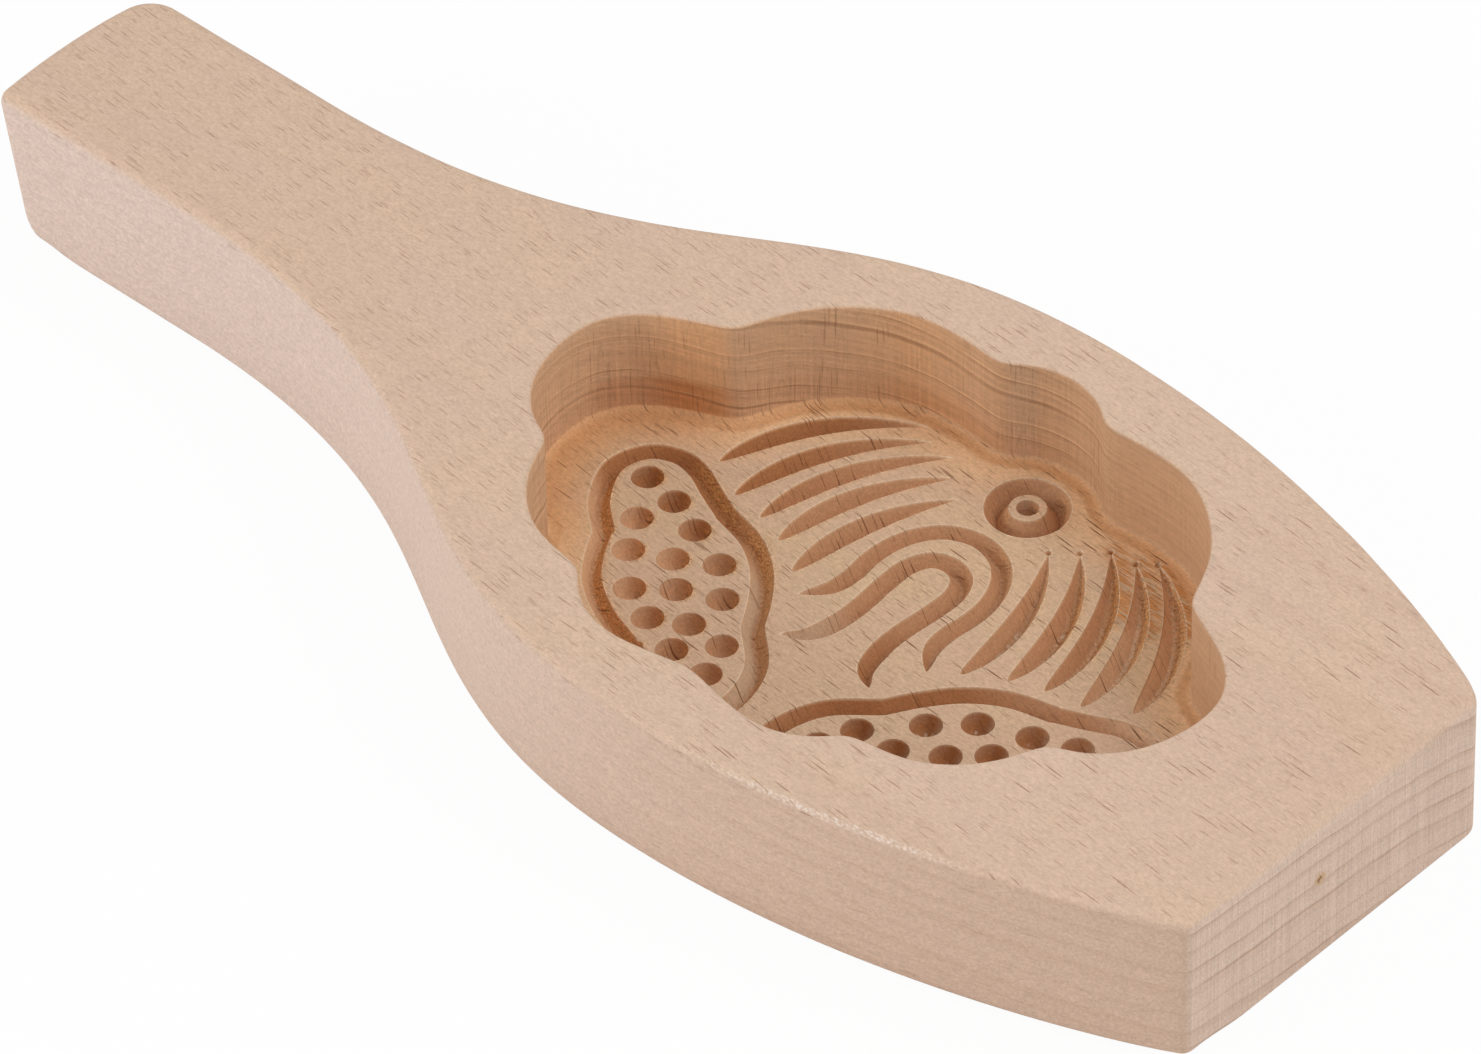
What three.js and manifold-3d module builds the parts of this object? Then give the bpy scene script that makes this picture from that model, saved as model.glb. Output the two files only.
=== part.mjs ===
// A wooden mooncake mould: one piece of beech, routed from a planed board.
// Millimetres, +Z up. The origin is under the middle of the block, on its flat underside.
// The handle points to -X and the flat end, which is knocked on the table, to +X.
import * as THREE from 'three';
import { mergeVertices } from 'three/addons/utils/BufferGeometryUtils.js';
import Module from 'manifold-3d';

// Block
const LENGTH = 230;
const WIDTH = 96;
const HANDLE_WIDTH = 30;
const HANDLE_STRAIGHT = 37;
const HANDLE_END_BOW = 0.9;
const HANDLE_END_SKEW = 0.7;
const HANDLE_CORNER_NEAR = 2.6;
const HANDLE_CORNER_FAR = 5.4;
const HANDLE_END_UNDERCUT = 4.2;
const HANDLE_END_BLEND = 16;
const HANDLE_BOTTOM_ROUND = 5;
const HANDLE_TOP_ROUND = 1.8;
const HANDLE_TOP_BLEND = 40;
const NECK_PULL = 60;
const SHOULDER_PULL = 52;
const BELLY_PULL = 38;
const FLAT_END_WIDTH = 57;
const FLAT_END_TAPER = 29;
const FLAT_END_CORNER_NEAR = 2.2;
const FLAT_END_CORNER_FAR = 3.5;
const FLAT_END_PULL = 8;
const FLAT_END_TOP_ROUND = 2.4;
const FLAT_END_BOTTOM_ROUND = 0.6;
const FLAT_END_BLEND = 3.5;
const FLAT_END_CORNER_BLEND = 9;
const TOP_EDGE_RADIUS = 1.3;
const BOTTOM_EDGE_RADIUS = 1.8;

// Cavity: the cake's height is its depth, and everything drawn in the cavity grows with its length
const CAVITY_LENGTH = 112;
const CAVITY_DEPTH = 17;
const WOOD_UNDER_CAVITY = 7;
const CAVITY_TO_FLAT_END = 80.2;
const FLOOR_FILLET = 1;

// Engraving in the cavity's floor, cut with one pointed bit and one round-nosed bit
const V_BIT_ANGLE = 60;
const LEAF_DEPTH = 3.1;
const OUTER_LOOP_DEPTH = 2.6;
const INNER_LOOP_DEPTH = 2.8;
const EYE_GROOVE_RADIUS = 4.25;
const EYE_GROOVE_DEPTH = 3;
const EYE_HOLE_RADIUS = 1.6;
const SEED_RADIUS = 2.3;
const SEED_DEPTH = 3;
const EYE_CENTRE = [0, 30.3];

const BOARD_THICKNESS = CAVITY_DEPTH + WOOD_UNDER_CAVITY;
const FLOOR = WOOD_UNDER_CAVITY;
const CAVITY_X = LENGTH / 2 - CAVITY_TO_FLAT_END;
const CLEAR = 0.3;
const FLANK = Math.tan(THREE.MathUtils.degToRad(V_BIT_ANGLE / 2));

// Half of the cavity's rim, drawn from its mirror line: lobes that meet in cusps.
// Each lobe is a curve through its points, and the next one starts where it ends.
const RIM_LOBES = [
  [[0, 39.5], [5.2, 38.3], [9.3, 35.2]],
  [[9.3, 35.2], [17, 35.8], [24.4, 34.9], [30.6, 31.5], [36, 26], [39.2, 19.7], [40.2, 16.8]],
  [[40.2, 16.8], [45.7, 14.3], [51, 11.4], [55, 6.7], [56, 0.6], [53.9, -7.7], [49.2, -13.2], [44.2, -15.4]],
  [[44.2, -15.4], [42, -20.9], [38.5, -25.6], [33.6, -29], [28.6, -30.3], [23.8, -30.9]],
  [[23.8, -30.9], [21.6, -33.6], [17.2, -36.5], [12.5, -37.4], [7.2, -36.8], [0, -35.3]],
];

// Fan leaves of the right half, from foot to head, each bowed away from the mirror line
const LEAVES = [
  { foot: [15, 0.1], head: [7.9, 25.6], bow: 2.4 },
  { foot: [20.5, 3.3], head: [11.1, 28.3], bow: 2.8 },
  { foot: [25.4, 5], head: [14, 31.2], bow: 3.1 },
  { foot: [31, 6], head: [18.1, 31.6], bow: 3.3 },
  { foot: [37.1, 9.6], head: [20.4, 33.5], bow: 3.6 },
];

// Right halves of the two loops under the eye, from the apex to the curled tip
const OUTER_LOOP = [
  [0, 21.2], [4.3, 19.9], [7.1, 17], [8.6, 13.3], [9, 9.4], [8.6, 5], [9, 1.5], [11.5, -2.6],
];
const INNER_LOOP = [
  [0, 15.1], [2.6, 14.2], [4.1, 11.4], [4.2, 6.6], [3.8, 2], [3.9, -3], [5.2, -7.4], [8, -9.8],
];

// Right pod: four lobes of groove around the seeds, each with its depth
const POD_LOBES = [
  {
    depth: 2.7,
    points: [
      [29.4, 2.7], [33.8, 4.6], [37.7, 6.4], [41.3, 6.9],
      [45.3, 5], [47.1, 0.1], [44.1, -6.3], [39.4, -10.5],
    ],
  },
  { depth: 2.4, points: [[39.4, -10.5], [36.9, -14.9], [33.9, -18.6], [28.8, -21.9], [21, -24.7]] },
  {
    depth: 2.85,
    points: [
      [21, -24.7], [17, -28.3], [12.2, -30.4], [7.2, -30],
      [4.2, -27], [3.9, -22.4], [6, -16.6], [11.7, -11.1],
    ],
  },
  { depth: 2.85, points: [[11.7, -11.1], [14.3, -6.9], [18, -2.5], [23, 0.9], [29.4, 2.7]] },
];
const SEEDS = [
  [42.1, 1], [36.1, -0.2], [30.2, -2.5], [23.1, -5.3],
  [37.6, -5.9], [28.5, -8.6], [18.2, -10],
  [34.2, -11.2], [24.1, -12.7], [12.1, -16.7],
  [28.9, -16.6], [18.2, -16.5], [23.2, -19.2],
  [16.6, -21.6], [10, -22.1], [12.9, -26],
];

const DRAWN_LENGTH = 2 * Math.max(...RIM_LOBES.flat().map(([x]) => x));
const GROWTH = CAVITY_LENGTH / DRAWN_LENGTH;

const wasm = await Module();
wasm.setup();

// A closed three.js geometry as a solid that can be joined and cut
function toSolid(geometry) {
  const bare = geometry.clone();
  bare.deleteAttribute('normal');
  bare.deleteAttribute('uv');
  const merged = mergeVertices(bare, 1e-4);
  return new wasm.Manifold(new wasm.Mesh({
    numProp: 3,
    vertProperties: new Float32Array(merged.attributes.position.array),
    triVerts: new Uint32Array(merged.index.array),
  }));
}

function toGeometry(solid) {
  const mesh = solid.getMesh();
  const geometry = new THREE.BufferGeometry();
  geometry.setAttribute('position', new THREE.BufferAttribute(mesh.vertProperties, 3));
  geometry.setIndex(new THREE.BufferAttribute(mesh.triVerts, 1));
  return geometry;
}

// A closed solid from equal rings of points, bottom ring first, each ring anticlockwise from above
function loft(rings) {
  const count = rings[0].length;
  const positions = rings.flat().flatMap((p) => [p.x, p.y, p.z]);
  const index = [];
  for (let ring = 0; ring + 1 < rings.length; ring += 1) {
    for (let i = 0; i < count; i += 1) {
      const a = ring * count + i;
      const b = ring * count + ((i + 1) % count);
      index.push(a, b, b + count, a, b + count, a + count);
    }
  }
  const last = (rings.length - 1) * count;
  const cap = (ring) => THREE.ShapeUtils.triangulateShape(ring.map((p) => new THREE.Vector2(p.x, p.y)), []);
  cap(rings[0]).forEach(([a, b, c]) => index.push(a, c, b));
  cap(rings.at(-1)).forEach(([a, b, c]) => index.push(last + a, last + b, last + c));
  const geometry = new THREE.BufferGeometry();
  geometry.setAttribute('position', new THREE.Float32BufferAttribute(positions, 3));
  geometry.setIndex(index);
  return geometry;
}

// Outline points moved towards the inside of an anticlockwise outline by inset(point)
function insetOutline(points, inset) {
  return points.map((point, i) => {
    const before = points.at(i - 1);
    const after = points[(i + 1) % points.length];
    const along = after.clone().sub(before).normalize();
    const inward = new THREE.Vector2(-along.y, along.x);
    return point.clone().addScaledVector(inward, inset(point));
  });
}

// How far from a sharp corner its round starts, for two edges that turn by an angle
const cornerReach = (radius, turn) => radius * Math.tan(turn / 2);

// Draws the round of a sharp corner between two edges, given as unit directions of travel
function roundCorner(outline, corner, radius, arriving, leaving) {
  const turn = arriving.angleTo(leaving);
  const reach = cornerReach(radius, turn);
  const pull = reach - (4 / 3) * Math.tan(turn / 4) * radius;
  const start = corner.clone().addScaledVector(arriving, -reach);
  const startPull = corner.clone().addScaledVector(arriving, -pull);
  const endPull = corner.clone().addScaledVector(leaving, pull);
  const end = corner.clone().addScaledVector(leaving, reach);
  outline.lineTo(start.x, start.y);
  outline.bezierCurveTo(startPull.x, startPull.y, endPull.x, endPull.y, end.x, end.y);
}

// The handle's end face in plan: slightly bowed, and skewed so that its near corner is further out
function handleEndFace(endX, handleY) {
  const FACE_STEPS = 60;
  const far = new THREE.Vector2(endX + HANDLE_END_SKEW, handleY);
  const near = new THREE.Vector2(endX, -handleY);
  const control = far.clone().add(near).multiplyScalar(0.5);
  control.x -= 2 * HANDLE_END_BOW;
  const into = control.clone().sub(far).normalize();
  const outOf = near.clone().sub(control).normalize();
  const farTurn = new THREE.Vector2(-1, 0).angleTo(into);
  const nearTurn = outOf.angleTo(new THREE.Vector2(1, 0));
  const start = far.clone().addScaledVector(into, cornerReach(HANDLE_CORNER_FAR, farTurn));
  const end = near.clone().addScaledVector(outOf, -cornerReach(HANDLE_CORNER_NEAR, nearTurn));
  const curve = new THREE.QuadraticBezierCurve(start, control, end);
  const furthest = Math.min(...curve.getPoints(FACE_STEPS).map((p) => p.x));
  [far, near, control, end].forEach((p) => p.setX(p.x + endX - furthest));
  return { far, near, control, end, into, outOf };
}

// Plan outline of the block, anticlockwise from the middle of the handle's near side
function blockOutline() {
  const handleEnd = -LENGTH / 2;
  const flatEnd = LENGTH / 2;
  const handleY = HANDLE_WIDTH / 2;
  const straightEnd = handleEnd + HANDLE_STRAIGHT;
  const bellyY = WIDTH / 2;
  const taper = THREE.MathUtils.degToRad(FLAT_END_TAPER);
  const toFlatEnd = new THREE.Vector2(Math.cos(taper), Math.sin(taper));
  const toBelly = new THREE.Vector2(-Math.cos(taper), Math.sin(taper));
  const acrossFlatEnd = new THREE.Vector2(0, 1);
  const flatNear = new THREE.Vector2(flatEnd, -FLAT_END_WIDTH / 2);
  const flatFar = new THREE.Vector2(flatEnd, FLAT_END_WIDTH / 2);
  const nearStart = flatNear.clone().addScaledVector(
    toFlatEnd, -cornerReach(FLAT_END_CORNER_NEAR, Math.PI / 2 - taper),
  );
  const nearPull = nearStart.clone().addScaledVector(toFlatEnd, -FLAT_END_PULL);
  const farPull = flatFar.clone().addScaledVector(
    toBelly, cornerReach(FLAT_END_CORNER_FAR, Math.PI / 2 - taper) + FLAT_END_PULL,
  );
  const face = handleEndFace(handleEnd, handleY);

  const outline = new THREE.Shape();
  outline.moveTo(straightEnd, -handleY);
  outline.bezierCurveTo(
    straightEnd + NECK_PULL, -handleY, CAVITY_X - SHOULDER_PULL, -bellyY, CAVITY_X, -bellyY,
  );
  outline.bezierCurveTo(
    CAVITY_X + BELLY_PULL, -bellyY, nearPull.x, nearPull.y, nearStart.x, nearStart.y,
  );
  roundCorner(outline, flatNear, FLAT_END_CORNER_NEAR, toFlatEnd, acrossFlatEnd);
  roundCorner(outline, flatFar, FLAT_END_CORNER_FAR, acrossFlatEnd, toBelly);
  outline.bezierCurveTo(farPull.x, farPull.y, CAVITY_X + BELLY_PULL, bellyY, CAVITY_X, bellyY);
  outline.bezierCurveTo(
    CAVITY_X - SHOULDER_PULL, bellyY, straightEnd + NECK_PULL, handleY, straightEnd, handleY,
  );
  roundCorner(outline, face.far, HANDLE_CORNER_FAR, new THREE.Vector2(-1, 0), face.into);
  outline.quadraticCurveTo(face.control.x, face.control.y, face.end.x, face.end.y);
  roundCorner(outline, face.near, HANDLE_CORNER_NEAR, face.outOf, new THREE.Vector2(1, 0));
  outline.closePath();
  return outline;
}

// Points along an outline, with at least a few on each of its curves
function outlinePoints(outline) {
  const LONGEST_STEP = 6;
  const FEWEST_STEPS = 5;
  return outline.curves.filter((curve) => curve.getLength() > 0.01).flatMap((curve) => {
    const fewest = curve instanceof THREE.LineCurve ? 1 : FEWEST_STEPS;
    return curve.getSpacedPoints(Math.max(fewest, Math.ceil(curve.getLength() / LONGEST_STEP))).slice(0, -1);
  });
}

// The board cut to its outline, with sanded edges: the handle's top edge and the flat end's are rounded
// more than the belly's, and the flat end's underside is rounded less
function blockGeometry() {
  const ROUND_STEPS = 4;
  const DEEPEST_INSET = 0.8;
  const { lerp, smoothstep } = THREE.MathUtils;
  const points = outlinePoints(blockOutline());
  const end = LENGTH / 2;
  const straightEnd = -end + HANDLE_STRAIGHT;
  const nearCorner = FLAT_END_CORNER_NEAR - FLAT_END_WIDTH / 2;
  const flatInset = DEEPEST_INSET * Math.min(FLAT_END_CORNER_NEAR, FLAT_END_CORNER_FAR);
  const handleInset = DEEPEST_INSET * Math.min(HANDLE_CORNER_NEAR, HANDLE_CORNER_FAR);
  const onHandle = (p) => 1 - smoothstep(p.x, straightEnd, straightEnd + HANDLE_TOP_BLEND);
  const nearHandleEnd = (p) => 1 - smoothstep(p.x, -end, -end + HANDLE_END_BLEND);
  const offNearCorner = (p) => smoothstep(p.y, nearCorner, nearCorner + FLAT_END_CORNER_BLEND);
  const onFlatEnd = (p) => smoothstep(p.x, end - FLAT_END_BLEND, end) * offNearCorner(p);
  const sideTopRound = (p) => lerp(TOP_EDGE_RADIUS, HANDLE_TOP_ROUND, onHandle(p));
  const topRound = (p) => lerp(sideTopRound(p), FLAT_END_TOP_ROUND, onFlatEnd(p));
  const sideBottomRound = (p) => lerp(BOTTOM_EDGE_RADIUS, HANDLE_BOTTOM_ROUND, nearHandleEnd(p));
  const bottomRound = (p) => lerp(sideBottomRound(p), FLAT_END_BOTTOM_ROUND, onFlatEnd(p));
  const bottomInset = (p) => Math.min(bottomRound(p), lerp(flatInset, handleInset, nearHandleEnd(p)));
  const ring = (insetAt, heightAt) => insetOutline(points, insetAt).map((p, i) => {
    const z = heightAt(points[i]);
    const underEdge = Math.max(0, 1 - z / (BOARD_THICKNESS - HANDLE_TOP_ROUND));
    return new THREE.Vector3(p.x + HANDLE_END_UNDERCUT * underEdge * nearHandleEnd(points[i]), p.y, z);
  });
  const quarter = Array.from({ length: ROUND_STEPS + 1 }, (_, i) => (i / ROUND_STEPS) * Math.PI / 2);
  const bottomRings = quarter.map((angle) => ring(
    (p) => bottomInset(p) * (1 - Math.sin(angle)),
    (p) => bottomRound(p) * (1 - Math.cos(angle)),
  ));
  const topRings = quarter.map((angle) => ring(
    (p) => topRound(p) * (1 - Math.cos(angle)),
    (p) => BOARD_THICKNESS - topRound(p) * (1 - Math.sin(angle)),
  ));
  return loft([...bottomRings, ...topRings]);
}

// A place in the cavity, from where it is drawn
const grown = ([x, y]) => new THREE.Vector3(x * GROWTH, y * GROWTH, 0);

// A curve through the given places of the cavity
function smoothCurve(places) {
  return new THREE.CatmullRomCurve3(places.map(grown), false, 'centripetal');
}

// Places on the other side of the mirror line, in the opposite order
const mirrored = (places) => places.map(([x, y]) => [-x, y]).reverse();

// The scalloped rim, anticlockwise from above, with its cusps eased
function rimOutline() {
  const POINTS_PER_LOBE = 12;
  const right = RIM_LOBES.flatMap((lobe) => {
    const steps = lobe.length > 3 ? POINTS_PER_LOBE : POINTS_PER_LOBE / 2;
    return smoothCurve(lobe).getSpacedPoints(steps).slice(0, -1).map((p) => new THREE.Vector2(p.x, p.y));
  });
  const bottom = grown(RIM_LOBES.at(-1).at(-1));
  right.push(new THREE.Vector2(bottom.x, bottom.y));
  const left = right.slice(1, -1).map((p) => new THREE.Vector2(-p.x, p.y)).reverse();
  const outline = [...right, ...left].reverse();
  return outline.map((point, i) => {
    const beside = outline.at(i - 1).clone().add(outline[(i + 1) % outline.length]).multiplyScalar(0.5);
    return point.clone().lerp(beside, 0.5);
  });
}

// The cavity's cutter: upright walls down to a small fillet round the floor
function cavityGeometry() {
  const FILLET_STEPS = 3;
  const rim = rimOutline();
  const rings = [];
  for (let i = 0; i <= FILLET_STEPS; i += 1) {
    const angle = (i / FILLET_STEPS) * Math.PI / 2;
    const z = FLOOR + FLOOR_FILLET * (1 - Math.cos(angle));
    const shrink = FLOOR_FILLET * (1 - Math.sin(angle));
    rings.push(insetOutline(rim, () => shrink).map((p) => new THREE.Vector3(p.x, p.y, z)));
  }
  rings.push(rim.map((p) => new THREE.Vector3(p.x, p.y, BOARD_THICKNESS + 1)));
  return loft(rings);
}

// One pass of the V bit along a plan curve: depthAt gives its depth under the floor, from 0 to 1
function vGroove(curve, steps, depthAt) {
  const sections = [];
  for (let i = 0; i <= steps; i += 1) {
    const t = i / steps;
    const centre = curve.getPointAt(t);
    const along = curve.getTangentAt(t);
    const across = new THREE.Vector3(-along.y, along.x, 0);
    const height = Math.max(depthAt(t) + CLEAR, 0.02);
    const top = FLOOR + CLEAR;
    const left = centre.clone().addScaledVector(across, height * FLANK).setZ(top);
    const right = centre.clone().addScaledVector(across, -height * FLANK).setZ(top);
    sections.push([left, right, centre.clone().setZ(top - height)]);
  }
  const positions = sections.flat().flatMap((p) => [p.x, p.y, p.z]);
  const index = [0, 2, 1];
  for (let i = 0; i < steps; i += 1) {
    for (let side = 0; side < 3; side += 1) {
      const a = i * 3 + side;
      const b = i * 3 + ((side + 1) % 3);
      index.push(a, b, a + 3, b, b + 3, a + 3);
    }
  }
  const last = steps * 3;
  index.push(last, last + 1, last + 2);
  const geometry = new THREE.BufferGeometry();
  geometry.setAttribute('position', new THREE.Float32BufferAttribute(positions, 3));
  geometry.setIndex(index);
  return geometry;
}

// The mark of a bit plunged straight down: its profile is [radius, depth] from the tip to the floor
function plunge(profile, sides, place) {
  const points = profile.map(([radius, depth]) => new THREE.Vector2(radius, -depth));
  const geometry = new THREE.LatheGeometry(points, sides);
  geometry.rotateX(Math.PI / 2);
  geometry.translate(...grown(place).setZ(FLOOR));
  return geometry;
}

// A leaf is a bowed V cut, widest in its lower third
function leafGroove({ foot, head, bow }) {
  const LEAF_STEPS = 14;
  const WIDEST = 0.4;
  const start = grown(foot);
  const end = grown(head);
  const chord = end.clone().sub(start);
  const outward = new THREE.Vector3(chord.y, -chord.x, 0).normalize();
  const control = start.clone().add(end).multiplyScalar(0.5).addScaledVector(outward, 2 * bow * GROWTH);
  const curve = new THREE.QuadraticBezierCurve3(start, control, end);
  const skew = Math.log(0.5) / Math.log(WIDEST);
  const swell = (t) => Math.sin(Math.PI * t ** skew) ** 0.8;
  return vGroove(curve, LEAF_STEPS, (t) => (LEAF_DEPTH + CLEAR) * swell(t) - CLEAR);
}

// A loop runs from one curled tip over the apex to the other, and thins out at both tips
function loopGroove(halfPoints, depth) {
  const LOOP_STEPS = 44;
  const TAPER = 0.13;
  const curve = smoothCurve([...mirrored(halfPoints), ...halfPoints.slice(1)]);
  return vGroove(curve, LOOP_STEPS, (t) => {
    const fromTip = Math.min(t, 1 - t) / TAPER;
    return depth * Math.sin(Math.min(fromTip, 1) * Math.PI / 2) ** 0.7 - CLEAR * Math.max(1 - fromTip, 0);
  });
}

// One pod: a lobed groove, with the bit's own cone at each cusp, round the seeds
function podCutters() {
  const CONE_SIDES = 16;
  const LOBE_STEPS = 14;
  const SEED_SIDES = 14;
  const vTip = (depth) => [[0, depth], [(depth + CLEAR) * FLANK, -CLEAR], [0, -CLEAR]];
  const seed = [
    [0, SEED_DEPTH],
    [0.42 * SEED_RADIUS, 0.93 * SEED_DEPTH],
    [0.74 * SEED_RADIUS, 0.68 * SEED_DEPTH],
    [SEED_RADIUS, 0],
    [SEED_RADIUS, -CLEAR],
    [0, -CLEAR],
  ];
  return [
    ...POD_LOBES.map(({ depth, points }) => vGroove(smoothCurve(points), LOBE_STEPS, () => depth)),
    ...POD_LOBES.map(({ depth, points }) => plunge(vTip(depth), CONE_SIDES, points[0])),
    ...SEEDS.map((place) => plunge(seed, SEED_SIDES, place)),
  ];
}

// The eye: a ring groove round a boss with a hole in it
function eyeCutters() {
  const EYE_SIDES = 32;
  const spread = (EYE_GROOVE_DEPTH + CLEAR) * FLANK;
  const ring = [
    [EYE_GROOVE_RADIUS, EYE_GROOVE_DEPTH],
    [EYE_GROOVE_RADIUS + spread, -CLEAR],
    [EYE_GROOVE_RADIUS - spread, -CLEAR],
    [EYE_GROOVE_RADIUS, EYE_GROOVE_DEPTH],
  ];
  const hole = [
    [0, SEED_DEPTH],
    [0.8 * EYE_HOLE_RADIUS, 0.7 * SEED_DEPTH],
    [EYE_HOLE_RADIUS, 0],
    [EYE_HOLE_RADIUS, -CLEAR],
    [0, -CLEAR],
  ];
  return [plunge(ring, EYE_SIDES, EYE_CENTRE), plunge(hole, EYE_SIDES / 2, EYE_CENTRE)];
}

// Everything engraved in the right half of the floor is cut again on the left
function carving() {
  const rightHalf = [...LEAVES.map(leafGroove), ...podCutters()].map(toSolid);
  const leftHalf = rightHalf.map((solid) => solid.mirror([1, 0, 0]));
  const onMirrorLine = [
    loopGroove(OUTER_LOOP, OUTER_LOOP_DEPTH),
    loopGroove(INNER_LOOP, INNER_LOOP_DEPTH),
    ...eyeCutters(),
  ].map(toSolid);
  return [...rightHalf, ...leftHalf, ...onMirrorLine];
}

function mouldBlock() {
  const cavity = toSolid(cavityGeometry());
  const cutters = carving().reduce((all, cutter) => all.add(cutter), cavity);
  const solid = toSolid(blockGeometry()).subtract(cutters.translate([CAVITY_X, 0, 0]));
  const beech = new THREE.MeshStandardMaterial({ color: 0xd9b99b, roughness: 0.75, metalness: 0 });
  const mesh = new THREE.Mesh(toGeometry(solid), beech);
  mesh.name = 'mould_block';
  return mesh;
}

const mould = new THREE.Group();
mould.add(mouldBlock());

export default mould;
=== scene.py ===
"""A wooden mooncake mould: one board of beech, sawn to a paddle shape, sanded outside and routed inside.

Sizes are in millimetres, and turn to metres where Blender gets them. The frame is the part's own: the handle
points to -X, the flat end that is knocked on the table to +X, and the cavity opens upwards.
"""

import math
from functools import partial, reduce
from types import SimpleNamespace

import bpy
import numpy as np
from mathutils import Matrix, Vector, kdtree, noise
from mathutils.geometry import delaunay_2d_cdt


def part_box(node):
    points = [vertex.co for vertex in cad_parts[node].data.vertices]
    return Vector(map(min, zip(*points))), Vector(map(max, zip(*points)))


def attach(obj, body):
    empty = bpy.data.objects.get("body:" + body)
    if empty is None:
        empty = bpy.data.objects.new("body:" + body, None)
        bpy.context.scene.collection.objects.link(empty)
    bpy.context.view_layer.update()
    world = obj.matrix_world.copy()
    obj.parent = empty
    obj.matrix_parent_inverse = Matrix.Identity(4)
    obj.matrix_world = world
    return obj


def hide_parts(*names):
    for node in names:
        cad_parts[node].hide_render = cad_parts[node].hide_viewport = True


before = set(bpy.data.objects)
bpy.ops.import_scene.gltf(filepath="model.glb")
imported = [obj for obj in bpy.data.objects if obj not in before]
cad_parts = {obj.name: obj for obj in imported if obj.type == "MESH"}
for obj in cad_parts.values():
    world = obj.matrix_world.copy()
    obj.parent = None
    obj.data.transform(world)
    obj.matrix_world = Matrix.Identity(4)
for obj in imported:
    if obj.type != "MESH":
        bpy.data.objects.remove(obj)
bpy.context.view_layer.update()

MM = 0.001

# Block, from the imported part
_, BLOCK_HIGH = (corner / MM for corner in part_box("mould_block"))
FLAT_END = BLOCK_HIGH.x
HANDLE_END = -FLAT_END
THICKNESS = BLOCK_HIGH.z
BELLY = BLOCK_HIGH.y

# Block, as it is drawn
HANDLE_WIDTH = 30
HANDLE_STRAIGHT = 37
HANDLE_END_BOW = 0.9
HANDLE_END_SKEW = 0.7
HANDLE_CORNER_NEAR = 2.6
HANDLE_CORNER_FAR = 5.4
HANDLE_END_UNDERCUT = 4.2
HANDLE_END_BLEND = 16
HANDLE_BOTTOM_ROUND = 5
HANDLE_TOP_ROUND = 1.8
HANDLE_TOP_BLEND = 40
NECK_PULL = 60
SHOULDER_PULL = 52
BELLY_PULL = 38
FLAT_END_WIDTH = 57
FLAT_END_TAPER = math.radians(29)
FLAT_END_CORNER_NEAR = 2.2
FLAT_END_CORNER_FAR = 3.5
FLAT_END_PULL = 8
FLAT_END_TOP_ROUND = 2.4
FLAT_END_BOTTOM_ROUND = 0.6
FLAT_END_BLEND = 3.5
FLAT_END_CORNER_BLEND = 9
TOP_EDGE_RADIUS = 1.3
BOTTOM_EDGE_RADIUS = 1.8

# The underside's edge moves in by no more than this share of the tighter corner's radius
INSET_SHARE = 0.8
HANDLE_INSET = INSET_SHARE * min(HANDLE_CORNER_NEAR, HANDLE_CORNER_FAR)
FLAT_INSET = INSET_SHARE * min(FLAT_END_CORNER_NEAR, FLAT_END_CORNER_FAR)

# Hand sanding: how much the flat end's rounding wanders, the other edges' share of it, and its wave's length
SANDING_WANDER = 0.45
SIDE_WANDER_SHARE = 0.35
SANDING_WAVE = 9
SANDING_SEED = 3

# Cavity
CAVITY_DEPTH = 17
FLOOR = THICKNESS - CAVITY_DEPTH
CAVITY_TO_FLAT_END = 80.2
CAVITY_X = FLAT_END - CAVITY_TO_FLAT_END
RIM_EASE = 0.45
FLOOR_FILLET = 1
CUSP_EASING_PASSES = 18

# Carving
V_BIT_ANGLE = math.radians(60)
FLANK = math.tan(V_BIT_ANGLE / 2)
V_TIP_FLAT = 0.12
OVERHANG = 0.8
LIP_EASE = 0.1
LEAF_DEPTH = 3.1
LEAF_WIDEST = 0.4
LEAF_FULLNESS = 0.8
LEAF_PLUNGE = 0.9
OUTER_LOOP_DEPTH = 2.6
INNER_LOOP_DEPTH = 2.8
LOOP_TAPER = 0.13
LOOP_FULLNESS = 0.7
EYE_CENTRE = (0, 30.3)
EYE_GROOVE_RADIUS = 4.25
EYE_GROOVE_DEPTH = 3
EYE_HOLE_RADIUS = 1.6
SEED_RADIUS = 2.3
SEED_DEPTH = 3
BOWL_ROUNDNESS = 3.2
LIP_WIDTH = 0.2
CREASE_ANGLE = math.radians(30)
SHELTER_REACH = 9

# Torn fibres on the cuts' flanks: the way that a torn flank faces, and how nearly it has to face that way
TORN_DEPTH = 0.16
TORN_FACING = (-0.95, -0.3, 0)
TORN_FROM = 0.25
TORN_FULL = 0.65
TORN_BLUR = 2
FIBRES_PER_MM = (1.1, 1.7, 1.1)

# Fibres that came out beside the outer leaves: the first leaf, where they start up it, and how far they reach
FIRST_OUTER_LEAF = 2
TORN_START_PERCENT = 55
TORN_OFF_LIP = 0.6
TORN_CORE = 0.4
TORN_REACH = 2.3

# Wood. The tilt is how much higher in its layers a point is for a millimetre along, across and up
RING_SPACING = 3.6
RING_TILT = (0.012, 0.158, 1)
RAY_ANGLE = math.radians(5)
WALL_FIBRE_SLOPE = math.radians(28)
NICK_PLACE = (FLAT_END, -3, 14)

# Mesh density
SIDE_STEP = 1.5
END_STEP = 0.8
CORNER_STEP = 0.45
RIM_STEP = 0.5
FINE_STEP = 0.3
LIP_STEP = 0.26
COARSE_STEP = 1.4
FACE_STEP = 5
STROKE_STEP = 0.4
FINE_MARGIN = 0.8
BEND_CLEARANCE = 0.6

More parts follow.
